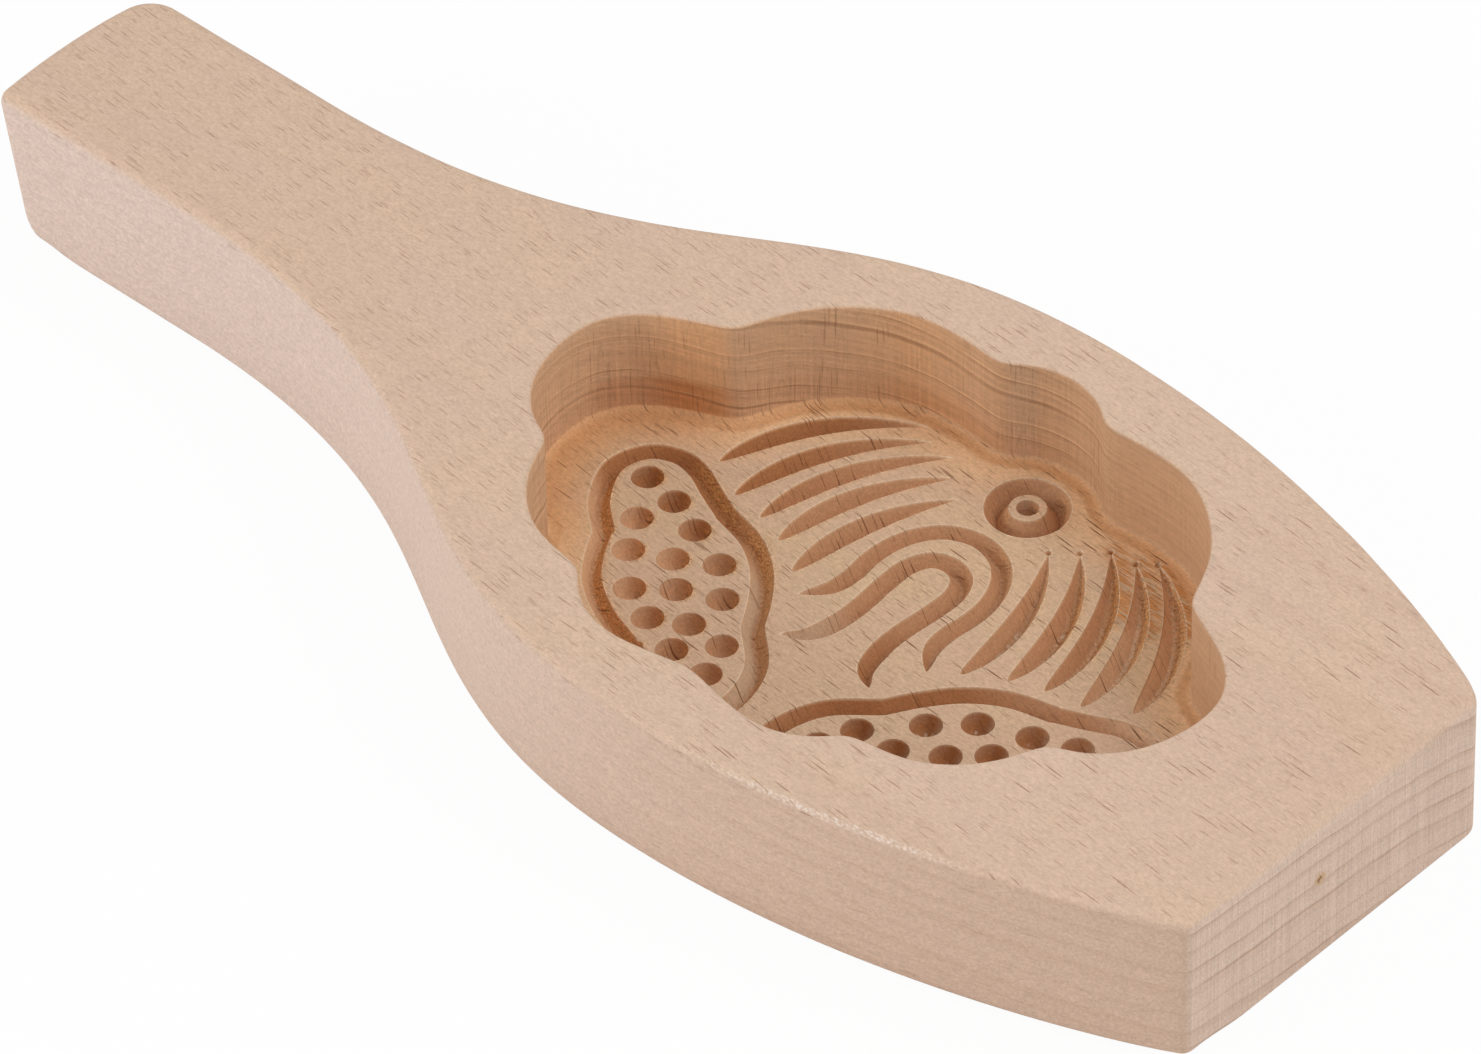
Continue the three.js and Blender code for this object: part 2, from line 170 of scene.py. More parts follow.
# Half of the cavity's rim, drawn from its mirror line: lobes that meet in cusps
RIM_LOBES = [
    [(0, 39.5), (5.2, 38.3), (9.3, 35.2)],
    [(9.3, 35.2), (17, 35.8), (24.4, 34.9), (30.6, 31.5), (36, 26), (39.2, 19.7), (40.2, 16.8)],
    [(40.2, 16.8), (45.7, 14.3), (51, 11.4), (55, 6.7),
     (56, 0.6), (53.9, -7.7), (49.2, -13.2), (44.2, -15.4)],
    [(44.2, -15.4), (42, -20.9), (38.5, -25.6), (33.6, -29), (28.6, -30.3), (23.8, -30.9)],
    [(23.8, -30.9), (21.6, -33.6), (17.2, -36.5), (12.5, -37.4), (7.2, -36.8), (0, -35.3)],
]

# Fan leaves of the right half: foot, head, and how far each bows away from the mirror line
LEAVES = [
    ((15, 0.1), (7.9, 25.6), 2.4),
    ((20.5, 3.3), (11.1, 28.3), 2.8),
    ((25.4, 5), (14, 31.2), 3.1),
    ((31, 6), (18.1, 31.6), 3.3),
    ((37.1, 9.6), (20.4, 33.5), 3.6),
]

# Right halves of the two loops under the eye, from the apex to the curled tip
OUTER_LOOP = [(0, 21.2), (4.3, 19.9), (7.1, 17), (8.6, 13.3), (9, 9.4), (8.6, 5), (9, 1.5), (11.5, -2.6)]
INNER_LOOP = [(0, 15.1), (2.6, 14.2), (4.1, 11.4), (4.2, 6.6), (3.8, 2), (3.9, -3), (5.2, -7.4), (8, -9.8)]

# Right pod: four lobes of groove round its seeds, each with its depth
POD_LOBES = [
    (2.7, [(29.4, 2.7), (33.8, 4.6), (37.7, 6.4), (41.3, 6.9),
           (45.3, 5), (47.1, 0.1), (44.1, -6.3), (39.4, -10.5)]),
    (2.4, [(39.4, -10.5), (36.9, -14.9), (33.9, -18.6), (28.8, -21.9), (21, -24.7)]),
    (2.85, [(21, -24.7), (17, -28.3), (12.2, -30.4), (7.2, -30),
            (4.2, -27), (3.9, -22.4), (6, -16.6), (11.7, -11.1)]),
    (2.85, [(11.7, -11.1), (14.3, -6.9), (18, -2.5), (23, 0.9), (29.4, 2.7)]),
]
SEEDS = [
    (42.1, 1), (36.1, -0.2), (30.2, -2.5), (23.1, -5.3),
    (37.6, -5.9), (28.5, -8.6), (18.2, -10),
    (34.2, -11.2), (24.1, -12.7), (12.1, -16.7),
    (28.9, -16.6), (18.2, -16.5), (23.2, -19.2),
    (16.6, -21.6), (10, -22.1), (12.9, -26),
]


# Small tools

def srgb(hex_colour):
    """A colour written as sRGB hex, as the linear RGBA that Blender works in."""
    parts = [int(hex_colour[i:i + 2], 16) / 255 for i in (1, 3, 5)]
    linear = [c / 12.92 if c <= 0.04045 else ((c + 0.055) / 1.055) ** 2.4 for c in parts]
    return (*linear, 1)


def add_node(tree, kind, inputs=None, **settings):
    """Adds one node to a tree with its settings, and sets or links its inputs."""
    node = tree.nodes.new(kind)
    for name, value in settings.items():
        setattr(node, name, value)
    for key, value in (inputs or {}).items():
        if isinstance(value, bpy.types.NodeSocket):
            tree.links.new(value, node.inputs[key])
        else:
            node.inputs[key].default_value = value
    return node


def link_object(name, data):
    thing = bpy.data.objects.new(name, data)
    bpy.context.scene.collection.objects.link(thing)
    return thing


# Curves in plan

def cubic(a, b, c, d):
    """Points close together on a Bezier curve."""
    t = np.linspace(0, 1, 200)[:, None]
    a, b, c, d = (np.array(p, float) for p in (a, b, c, d))
    return (1 - t) ** 3 * a + 3 * (1 - t) ** 2 * t * b + 3 * (1 - t) * t ** 2 * c + t ** 3 * d


def quadratic(a, b, c):
    a, b, c = (np.array(p, float) for p in (a, b, c))
    return cubic(a, a + (b - a) * 2 / 3, c + (b - c) * 2 / 3, c)


def spaced(points, spacing):
    """The same line with evenly spaced points."""
    run = np.concatenate([[0], np.cumsum(np.linalg.norm(np.diff(points, axis=0), axis=1))])
    at = np.linspace(0, run[-1], max(1, math.ceil(run[-1] / spacing)) + 1)
    return np.stack([np.interp(at, run, column) for column in points.T], axis=1)


def smooth_curve(points, spacing):
    """A centripetal Catmull-Rom curve through the points, evenly spaced."""
    knots = np.array(points, float)
    knots = np.vstack([2 * knots[0] - knots[1], knots, 2 * knots[-1] - knots[-2]])
    pieces = []
    for p0, p1, p2, p3 in zip(knots, knots[1:], knots[2:], knots[3:]):
        gap0, gap1, gap2 = (math.sqrt(np.linalg.norm(b - a)) for a, b in ((p0, p1), (p1, p2), (p2, p3)))
        leave = ((p1 - p0) / gap0 - (p2 - p0) / (gap0 + gap1) + (p2 - p1) / gap1) * gap1
        arrive = ((p2 - p1) / gap1 - (p3 - p1) / (gap1 + gap2) + (p3 - p2) / gap2) * gap1
        pieces.append(cubic(p1, p1 + leave / 3, p2 - arrive / 3, p2)[::5])
    return spaced(np.vstack(pieces), spacing)


def mirrored(points):
    """The other half of a line that starts on the mirror line, in the opposite order."""
    return np.array(points, float)[::-1] * (-1, 1)


def inset_outline(points, inset):
    """An anticlockwise outline moved inwards; inset is one size or one for each point."""
    along = np.roll(points, -1, axis=0) - np.roll(points, 1, axis=0)
    along /= np.linalg.norm(along, axis=1)[:, None]
    inward = np.stack([-along[:, 1], along[:, 0]], axis=1)
    return points + inward * np.reshape(inset, (-1, 1))


def corner_reach(radius, turn):
    return radius * math.tan(turn / 2)


def round_corner(corner, radius, arriving, leaving):
    """The round of a sharp corner between two directions of travel."""
    corner, arriving, leaving = (np.array(v, float) for v in (corner, arriving, leaving))
    turn = math.acos(np.clip(arriving @ leaving, -1, 1))
    reach = corner_reach(radius, turn)
    pull = reach - 4 / 3 * math.tan(turn / 4) * radius
    return cubic(corner - arriving * reach, corner - arriving * pull,
                 corner + leaving * pull, corner + leaving * reach)


def handle_end_face():
    """The handle's end in plan, from its far corner to its near one: a little bowed, and further out
    at the near side."""
    handle_y = HANDLE_WIDTH / 2
    far = np.array((HANDLE_END + HANDLE_END_SKEW, handle_y))
    near = np.array((HANDLE_END, -handle_y))
    middle = (far + near) / 2 - (2 * HANDLE_END_BOW, 0)
    into_face = (middle - far) / np.linalg.norm(middle - far)
    out_of_face = (near - middle) / np.linalg.norm(near - middle)
    far_corner = round_corner(far, HANDLE_CORNER_FAR, (-1, 0), into_face)
    near_corner = round_corner(near, HANDLE_CORNER_NEAR, out_of_face, (1, 0))
    face = quadratic(far_corner[-1], middle, near_corner[0])
    beyond = HANDLE_END - face[:, 0].min()
    return [run + (beyond, 0) for run in (far_corner, face, near_corner)]


def block_outline():
    """Plan outline of the block, anticlockwise from the handle's near side."""
    handle_y = HANDLE_WIDTH / 2
    straight_end = HANDLE_END + HANDLE_STRAIGHT
    to_end = np.array((math.cos(FLAT_END_TAPER), math.sin(FLAT_END_TAPER)))
    to_belly = to_end * (-1, 1)
    flat_near = np.array((FLAT_END, -FLAT_END_WIDTH / 2))
    flat_far = flat_near * (1, -1)
    flat_turn = math.pi / 2 - FLAT_END_TAPER
    near_start = flat_near - to_end * corner_reach(FLAT_END_CORNER_NEAR, flat_turn)
    far_start = flat_far + to_belly * corner_reach(FLAT_END_CORNER_FAR, flat_turn)

    far_corner, handle_face, near_corner = handle_end_face()
    flat_near_corner = round_corner(flat_near, FLAT_END_CORNER_NEAR, to_end, (0, 1))
    flat_far_corner = round_corner(flat_far, FLAT_END_CORNER_FAR, (0, 1), to_belly)
    neck = ((straight_end, -handle_y), (straight_end + NECK_PULL, -handle_y),
            (CAVITY_X - SHOULDER_PULL, -BELLY), (CAVITY_X, -BELLY))
    near_side = ((CAVITY_X, -BELLY), (CAVITY_X + BELLY_PULL, -BELLY),
                 near_start - to_end * FLAT_END_PULL, near_start)
    far_side = (far_start, far_start + to_belly * FLAT_END_PULL,
                (CAVITY_X + BELLY_PULL, BELLY), (CAVITY_X, BELLY))
    far_neck = [np.array(p) * (1, -1) for p in neck[::-1]]

    runs = [
        (cubic(*neck), SIDE_STEP), (cubic(*near_side), SIDE_STEP),
        (flat_near_corner, CORNER_STEP), (np.array([flat_near_corner[-1], flat_far_corner[0]]), END_STEP),
        (flat_far_corner, CORNER_STEP), (cubic(*far_side), SIDE_STEP), (cubic(*far_neck), SIDE_STEP),
        (np.array([far_neck[-1], far_corner[0]]), SIDE_STEP),
        (far_corner, CORNER_STEP), (handle_face, END_STEP), (near_corner, CORNER_STEP),
        (np.array([near_corner[-1], neck[0]]), SIDE_STEP),
    ]
    return np.vstack([spaced(points, step)[:-1] for points, step in runs])


def rim_outline():
    """The scalloped rim, anticlockwise, with its cusps eased by sanding."""
    half = np.vstack([smooth_curve(lobe, RIM_STEP)[:-1] for lobe in RIM_LOBES] + [[RIM_LOBES[-1][-1]]])
    outline = np.vstack([half, mirrored(half)[1:-1]])[::-1]
    for _ in range(CUSP_EASING_PASSES):
        outline = (np.roll(outline, 1, axis=0) + 2 * outline + np.roll(outline, -1, axis=0)) / 4
    return outline + (CAVITY_X, 0)


# Block and cavity as rings of points

def smooth_step(value, low, high):
    t = np.clip((value - low) / (high - low), 0, 1)
    return t * t * (3 - 2 * t)


def wander(points):
    """Slow noise from -1 to 1 along an outline."""
    places = (Vector((x / SANDING_WAVE, y / SANDING_WAVE, SANDING_SEED)) for x, y in points)
    return np.array([noise.noise(place) for place in places])


def block_rings():
    """Rings of the block's outside, from its underside to its top face."""
    ROUND_STEPS = 6
    SIDE_ROWS = 5
    SUPPORT = 0.2
    outline = block_outline()
    x, y = outline.T
    straight_end = HANDLE_END + HANDLE_STRAIGHT
    near_corner = FLAT_END_CORNER_NEAR - FLAT_END_WIDTH / 2
    on_handle = 1 - smooth_step(x, straight_end, straight_end + HANDLE_TOP_BLEND)
    near_handle_end = 1 - smooth_step(x, HANDLE_END, HANDLE_END + HANDLE_END_BLEND)
    off_near_corner = smooth_step(y, near_corner, near_corner + FLAT_END_CORNER_BLEND)
    on_flat_end = smooth_step(x, FLAT_END - FLAT_END_BLEND, FLAT_END) * off_near_corner

    def blend(low, high, share):
        return low + (high - low) * share

    top_round = blend(blend(TOP_EDGE_RADIUS, HANDLE_TOP_ROUND, on_handle), FLAT_END_TOP_ROUND, on_flat_end)
    top_round = top_round + SANDING_WANDER * blend(SIDE_WANDER_SHARE, 1, on_flat_end) * wander(outline)
    bottom_round = blend(blend(BOTTOM_EDGE_RADIUS, HANDLE_BOTTOM_ROUND, near_handle_end),
                         FLAT_END_BOTTOM_ROUND, on_flat_end)
    bottom_inset = np.minimum(bottom_round, blend(FLAT_INSET, HANDLE_INSET, near_handle_end))

    def ring(inset, height):
        height = np.broadcast_to(height, len(outline))
        plan = inset_outline(outline, inset)
        under_edge = np.maximum(0, 1 - height / (THICKNESS - HANDLE_TOP_ROUND))
        lean = HANDLE_END_UNDERCUT * under_edge * near_handle_end
        return np.column_stack([plan[:, 0] + lean, plan[:, 1], height])

    quarter = np.linspace(0, math.pi / 2, ROUND_STEPS + 1)
    rings = [ring(bottom_inset + SUPPORT, 0)]
    rings += [ring(bottom_inset * (1 - math.sin(a)), bottom_round * (1 - math.cos(a))) for a in quarter]
    lowest, highest = bottom_round, THICKNESS - top_round
    rings += [ring(0, lowest + (highest - lowest) * s) for s in np.linspace(0, 1, SIDE_ROWS + 2)[1:-1]]
    rings += [ring(top_round * (1 - math.cos(a)), THICKNESS - top_round * (1 - math.sin(a))) for a in quarter]
    rings.append(ring(top_round + SUPPORT, THICKNESS))
    return rings


def cavity_rings():
    """Rings of the cavity's wall, from the top face to the edge of its floor."""
    EASE_STEPS = 4
    FILLET_STEPS = 5
    WALL_ROWS = 8
    SUPPORT = 0.5
    rim = rim_outline()

    def ring(inset, height):
        return np.column_stack([inset_outline(rim, inset), np.full(len(rim), height)])

    rings = [ring(-RIM_EASE - SUPPORT, THICKNESS)]
    for angle in np.linspace(0, math.pi / 2, EASE_STEPS + 1):
        rings.append(ring(-RIM_EASE * (1 - math.sin(angle)), THICKNESS - RIM_EASE * (1 - math.cos(angle))))
    for height in np.linspace(THICKNESS - RIM_EASE, FLOOR + FLOOR_FILLET, WALL_ROWS + 2)[1:-1]:
        rings.append(ring(0, height))
    for angle in np.linspace(0, math.pi / 2, FILLET_STEPS + 1):
        rings.append(ring(FLOOR_FILLET * (1 - math.cos(angle)), FLOOR + FLOOR_FILLET * (1 - math.sin(angle))))
    rings.append(ring(FLOOR_FILLET + SUPPORT, FLOOR))
    return rings


# Carving strokes, as plan points with the depth of the cut at each

def leaf_stroke(foot, head, bow, plunge=0):
    """A bowed cut, deepest a little below its middle. Where the bit is plunged in at the head it leaves a
    small pit."""
    foot, head = np.array(foot, float), np.array(head, float)
    chord = head - foot
    outward = np.array((chord[1], -chord[0])) / np.linalg.norm(chord)
    control = (foot + head) / 2 + outward * 2 * bow
    points = spaced(quadratic(foot, control, head), STROKE_STEP)
    t = np.linspace(0, 1, len(points))
    skew = math.log(0.5) / math.log(LEAF_WIDEST)
    depths = LEAF_DEPTH * np.sin(math.pi * t ** skew).clip(0) ** LEAF_FULLNESS
    depths[-1] = plunge
    return points, depths


def loop_stroke(half, depth):
    """A loop from one curled tip over its apex to the other, which thins out at both tips."""
    points = smooth_curve(np.vstack([mirrored(half), half[1:]]), STROKE_STEP)
    t = np.linspace(0, 1, len(points))
    from_tip = np.minimum(np.minimum(t, 1 - t) / LOOP_TAPER, 1)
    return points, depth * np.sin(from_tip * math.pi / 2) ** LOOP_FULLNESS


def carving_strokes():
    def other_side(strokes):
        return [(points * (-1, 1), depths) for points, depths in strokes]

    right_fan = [leaf_stroke(*leaf, LEAF_PLUNGE) for leaf in LEAVES]
    left_fan = other_side([leaf_stroke(*leaf) for leaf in LEAVES])
    pod = []
    for depth, lobe in POD_LOBES:
        points = smooth_curve(lobe, STROKE_STEP)
        pod.append((points, np.full(len(points), depth)))
    loops = [loop_stroke(OUTER_LOOP, OUTER_LOOP_DEPTH), loop_stroke(INNER_LOOP, INNER_LOOP_DEPTH)]
    strokes = right_fan + left_fan + pod + other_side(pod) + loops
    return [(points + (CAVITY_X, 0), depths) for points, depths in strokes]


def seed_places():
    right = np.array(SEEDS, float)
    return np.vstack([right, right * (-1, 1)]) + (CAVITY_X, 0)


# Meshes of the flat faces

def hex_grid(low, high, step):
    rows = np.arange(low[1], high[1], step * math.sqrt(3) / 2)
    columns = np.arange(low[0], high[0], step)
    return np.vstack([np.column_stack([columns + (i % 2) * step / 2, np.full(len(columns), y)])
                      for i, y in enumerate(rows)])


def nearest(targets, points):
    """For each point, the distance to the nearest target and its number."""
    tree = kdtree.KDTree(len(targets))
    for i, (x, y) in enumerate(targets):
        tree.insert((x, y, 0), i)
    tree.balance()
    found = [tree.find((x, y, 0)) for x, y in points]
    return np.array([f[2] for f in found]), np.array([f[1] for f in found])


def inside(outline, points):
    """Which points lie inside an outline."""
    result = np.zeros(len(points), bool)
    x, y = points.T
    for (x0, y0), (x1, y1) in zip(outline, np.roll(outline, -1, axis=0)):
        crosses = (y0 > y) != (y1 > y)
        with np.errstate(divide="ignore", invalid="ignore"):
            result ^= crosses & (x < x0 + (y - y0) * (x1 - x0) / (y1 - y0))
    return result


def fill(loops, points):
    """Triangles between closed loops and the points inside them: an outline, and any holes after it."""
    WITH_HOLES = 2
    SAME_POINT = 1e-7
    plan = [Vector(p) for loop in loops for p in loop] + [Vector(p) for p in points]
    outer = list(range(len(loops[0])))
    holes = []
    for loop in loops[1:]:
        start = len(outer) + sum(map(len, holes))
        holes.append(list(range(start, start + len(loop)))[::-1])
    made, _, faces, _, _, _ = delaunay_2d_cdt(plan, [], [outer, *holes], WITH_HOLES, SAME_POINT)
    if len(made) != len(plan):
        raise ValueError("two points of a flat face coincide")
    return [list(face) for face in faces]


def bend_lines():
    """Lines along which the carved floor bends: the lips and the valley of each cut, and each hole's rim."""
    lines = []
    for points, depths in carving_strokes():
        along = np.gradient(points, axis=0)
        along /= np.linalg.norm(along, axis=1)[:, None]
        across = np.column_stack([-along[:, 1], along[:, 0]]) * (depths * FLANK)[:, None]
        lines += [points, points + across, points - across]
    angle = np.linspace(0, 2 * math.pi, 100)[:, None]
    circle = np.hstack([np.cos(angle), np.sin(angle)])
    lines += [centre + circle * SEED_RADIUS for centre in seed_places()]
    eye = np.add(EYE_CENTRE, (CAVITY_X, 0))
    spread = EYE_GROOVE_DEPTH * FLANK
    eye_radii = (EYE_GROOVE_RADIUS - spread, EYE_GROOVE_RADIUS, EYE_GROOVE_RADIUS + spread, EYE_HOLE_RADIUS)
    return lines + [eye + circle * radius for radius in eye_radii]


def thinned(points, least):
    """The points that are not too near an earlier one."""
    tree = kdtree.KDTree(len(points))
    for i, (x, y) in enumerate(points):
        tree.insert((x, y, 0), i)
    tree.balance()
    kept = np.ones(len(points), bool)
    for i, (x, y) in enumerate(points):
        if kept[i]:
            kept[[j for _, j, _ in tree.find_range((x, y, 0), least) if j > i]] = False
    return points[kept]


def floor_points(edge):
    """Points inside the floor's edge: on the cuts' lips and valleys, close together in and beside the cuts,
    and far apart between them."""
    low, high = edge.min(0), edge.max(0)
    strokes = carving_strokes()
    cuts = np.vstack([points for points, _ in strokes] + [seed_places(), [np.add(EYE_CENTRE, (CAVITY_X, 0))]])
    eye_reach = EYE_GROOVE_RADIUS + EYE_GROOVE_DEPTH * FLANK
    reach = np.concatenate([depths * FLANK for _, depths in strokes]
                           + [np.full(len(SEEDS) * 2, SEED_RADIUS), [eye_reach]]) + FINE_MARGIN

    fine = hex_grid(low, high, FINE_STEP)
    coarse = hex_grid(low, high, COARSE_STEP)
    bends = np.vstack([spaced(line, LIP_STEP) for line in bend_lines()])
    bends = bends[(nearest(edge, bends)[0] > LIP_STEP) & inside(edge, bends)]
    bends = thinned(bends, LIP_STEP / 2)
    kept = [bends]
    for grid, wanted, clear in ((fine, True, FINE_STEP), (coarse, False, RIM_STEP)):
        to_edge, _ = nearest(edge, grid)
        grid = grid[(to_edge > clear) & inside(edge, grid)]
        to_cut, which = nearest(cuts, grid)
        grid = grid[(to_cut < reach[which]) == wanted]
        kept.append(grid[nearest(bends, grid)[0] > BEND_CLEARANCE * FINE_STEP])
    return np.vstack(kept)


def torn_beside_leaves(points):
    """For each floor point, 1 where fibres came out beside the right fan's outer leaves, down to 0 away from
    there."""
    strips = []
    for leaf in LEAVES[FIRST_OUTER_LEAF:]:
        places, depths = leaf_stroke(*leaf)
        along = np.gradient(places, axis=0)
        outward = np.column_stack([along[:, 1], -along[:, 0]]) / np.linalg.norm(along, axis=1)[:, None]
        lip = places + outward * (depths * FLANK + TORN_OFF_LIP)[:, None]
        strips.append(lip[len(lip) * TORN_START_PERCENT // 100:])
    to_strip, _ = nearest(np.vstack(strips) + (CAVITY_X, 0), points)
    return 1 - smooth_step(to_strip, TORN_CORE, TORN_REACH)


def closed_block():
    """The whole block as one closed mesh, with its floor still flat."""
    outside = block_rings()
    wall = cavity_rings()
    vertices = []
    faces = []

    def add_rings(rings, upwards):
        """Adds rings joined by quads and gives the numbers of the first and last ring's points."""
        start, count = sum(map(len, vertices)), len(rings[0])
        vertices.extend(rings)
        for level in range(len(rings) - 1):
            for i in range(count):
                a = start + level * count + i
                b = start + level * count + (i + 1) % count
                quad = [a, b, b + count, a + count]
                faces.append(quad if upwards else quad[::-1])
        numbers = np.arange(count)
        return start + numbers, start + (len(rings) - 1) * count + numbers

    def add_face(loops, numbers, points, height, upwards):
        """Adds a flat face between loops whose points already have numbers."""
        start = sum(map(len, vertices))
        vertices.append(np.column_stack([points, np.full(len(points), height)]))
        known = np.concatenate([*numbers, start + np.arange(len(points))])
        for face in fill(loops, points):
            corners = [int(known[i]) for i in face]
            faces.append(corners if upwards else corners[::-1])

    bottom, top = add_rings(outside, True)
    rim, edge = add_rings(wall, True)
    plan = {name: ring[:, :2] for name, ring in
            (("bottom", outside[0]), ("top", outside[-1]), ("rim", wall[0]), ("edge", wall[-1]))}
    grid = hex_grid(plan["bottom"].min(0), plan["bottom"].max(0), FACE_STEP)
    grid = grid[inside(plan["bottom"], grid) & (nearest(plan["bottom"], grid)[0] > FACE_STEP / 2)]
    over = grid[inside(plan["top"], grid) & (nearest(plan["top"], grid)[0] > FACE_STEP / 2)]
    over = over[~inside(plan["rim"], over) & (nearest(plan["rim"], over)[0] > FACE_STEP / 2)]
    add_face([plan["bottom"]], [bottom], grid, 0, False)
    add_face([plan["top"], plan["rim"]], [top, rim], over, THICKNESS, True)
    before_floor = sum(map(len, vertices))
    add_face([plan["edge"]], [edge], floor_points(plan["edge"]), FLOOR, True)

    points = np.vstack(vertices)
    wall_numbers = np.arange(rim[0], rim[0] + sum(map(len, wall)))
    routed = np.zeros(len(points), np.float32)
    routed[wall_numbers] = np.clip((THICKNESS - points[wall_numbers, 2]) / RIM_EASE, 0, 1)
    routed[before_floor:] = 1
    on_floor = np.zeros(len(points), bool)
    on_floor[before_floor:] = True
    sheltered = routed.copy()
    to_wall, _ = nearest(plan["edge"], points[before_floor:, :2])
    sheltered[before_floor:] = 1 - smooth_step(to_wall, 0, SHELTER_REACH)
    torn_floor = np.zeros(len(points), np.float32)
    torn_floor[before_floor:] = torn_beside_leaves(points[before_floor:, :2])

    mesh = bpy.data.meshes.new("beech_mould")
    mesh.from_pydata((points * MM).tolist(), [], faces)
    for name, values in (("routed", routed), ("sheltered", sheltered), ("torn_floor", torn_floor)):
        mesh.attributes.new(name, "FLOAT", "POINT").data.foreach_set("value", values)
    mesh.attributes.new("floor", "BOOLEAN", "POINT").data.foreach_set("value", on_floor)
    mesh.polygons.foreach_set("use_smooth", [True] * len(mesh.polygons))
    mesh.update()
    return link_object("beech_mould", mesh)


# Carving, as geometry nodes: each point of the floor drops to the lowest cutter over it

CONE_SIDES = 24

# A ray looks for the bit's path from below a floor point, and a point with none over it counts it far above
RAY_BELOW = 20
RAY_LENGTH = 40
FAR_ABOVE = 1000

# What uncut wood gets for the depth of its cut
NOT_CUT = -1.0

CARVING_INPUTS = {
    "Geometry": "NodeSocketGeometry", "Strokes": "NodeSocketObject", "Bit profile": "NodeSocketObject",
    "Seeds": "NodeSocketObject", "Material": "NodeSocketMaterial", "Floor height": "NodeSocketFloat",
    "Lip ease": "NodeSocketFloat", "Seed radius": "NodeSocketFloat", "Seed depth": "NodeSocketFloat",
    "Eye centre": "NodeSocketVector", "Eye groove radius": "NodeSocketFloat",
    "Eye groove depth": "NodeSocketFloat", "Eye hole radius": "NodeSocketFloat",
    "Torn depth": "NodeSocketFloat", "Crease angle": "NodeSocketFloat",
}


def stroke_curves():
    """The pointed bit's path: one curve for each stroke. Its radius is the bit's height there, from its
    point to a little over the floor."""
    data = bpy.data.curves.new("strokes", "CURVE")
    data.dimensions = "3D"
    data.twist_mode = "Z_UP"
    for points, depths in carving_strokes():
        spline = data.splines.new("POLY")
        spline.points.add(len(points) - 1)
        places = np.column_stack([points, np.full(len(points), FLOOR + OVERHANG), np.zeros(len(points))]) * MM
        spline.points.foreach_set("co", places.ravel())
        spline.points.foreach_set("radius", depths + OVERHANG)
    return link_object("strokes", data)


def bit_profile():
    """The pointed bit's profile for a cut 1 mm deep. A sweep lays the profile's +Y downwards."""
    data = bpy.data.curves.new("bit_profile", "CURVE")
    data.dimensions = "3D"
    spline = data.splines.new("POLY")
    blunt = V_TIP_FLAT * FLANK
    shape = [(-FLANK, 0), (-blunt, 1 - V_TIP_FLAT), (blunt, 1 - V_TIP_FLAT), (FLANK, 0)]
    spline.points.add(len(shape) - 1)
    for point, (x, y) in zip(spline.points, shape):
        point.co = (x * MM, y * MM, 0, 1)
    return link_object("bit_profile", data)


def seed_points():
    data = bpy.data.meshes.new("seeds")
    data.from_pydata([(x * MM, y * MM, FLOOR * MM) for x, y in seed_places()], [], [])
    return link_object("seeds", data)


def stroke_height(tree, given):
    """Height of the bit's path over a point, or far above the block where no stroke passes. The path is the
    surface that the bit's profile sweeps along the strokes, with the bit's own cone where a stroke ends."""
    add = partial(add_node, tree)
    strokes = add("GeometryNodeObjectInfo", {"Object": given["Strokes"]}).outputs["Geometry"]
    profile = add("GeometryNodeObjectInfo", {"Object": given["Bit profile"]}).outputs["Geometry"]
    radius = add("GeometryNodeInputRadius").outputs[0]
    swept = add("GeometryNodeCurveToMesh", {
        "Curve": strokes, "Profile Curve": profile, "Scale": radius,
    }).outputs[0]
    cone = add("GeometryNodeMeshCone", {
        "Vertices": CONE_SIDES, "Radius Top": FLANK * MM, "Radius Bottom": 0.0, "Depth": MM,
    }, fill_type="NONE").outputs[0]
    hung = add("GeometryNodeTransform", {"Geometry": cone, "Translation": (0, 0, -MM)}).outputs[0]
    ends = add("GeometryNodeCurveEndpointSelection").outputs[0]
    tips = add("GeometryNodeInstanceOnPoints", {
        "Points": strokes, "Selection": ends, "Instance": hung, "Scale": radius,
    }).outputs[0]
    real_tips = add("GeometryNodeRealizeInstances", {0: tips}).outputs[0]
    cutters = add("GeometryNodeJoinGeometry", {0: swept})
    tree.links.new(real_tips, cutters.inputs[0])

    place = add("GeometryNodeInputPosition").outputs[0]
    start = add("ShaderNodeVectorMath", {0: place, 1: (0, 0, -RAY_BELOW * MM)}, operation="ADD").outputs[0]
    ray = add("GeometryNodeRaycast", {
        "Target Geometry": cutters.outputs[0], "Source Position": start, "Ray Direction": (0, 0, 1),
        "Ray Length": RAY_LENGTH * MM,
    }).outputs
    hit_height = add("ShaderNodeSeparateXYZ", {0: ray["Hit Position"]}).outputs[2]
    return add("GeometryNodeSwitch", {
        0: ray["Is Hit"], 1: FAR_ABOVE * MM, 2: hit_height,
    }, input_type="FLOAT").outputs[0]


def bowl_height(tree, given, distance, radius, depth):
    """Height of a round-bottomed hole's surface at a distance from its middle."""
    add = partial(add_node, tree)
    share = add("ShaderNodeMath", {0: distance, 1: radius}, operation="DIVIDE").outputs[0]
    rounded = add("ShaderNodeMath", {0: share, 1: BOWL_ROUNDNESS}, operation="POWER").outputs[0]
    under_rim = add("ShaderNodeMath", {0: rounded, 1: 1.0}, operation="SUBTRACT").outputs[0]
    drop = add("ShaderNodeMath", {0: depth, 1: under_rim}, operation="MULTIPLY").outputs[0]
    return add("ShaderNodeMath", {0: given["Floor height"], 1: drop}, operation="ADD").outputs[0]


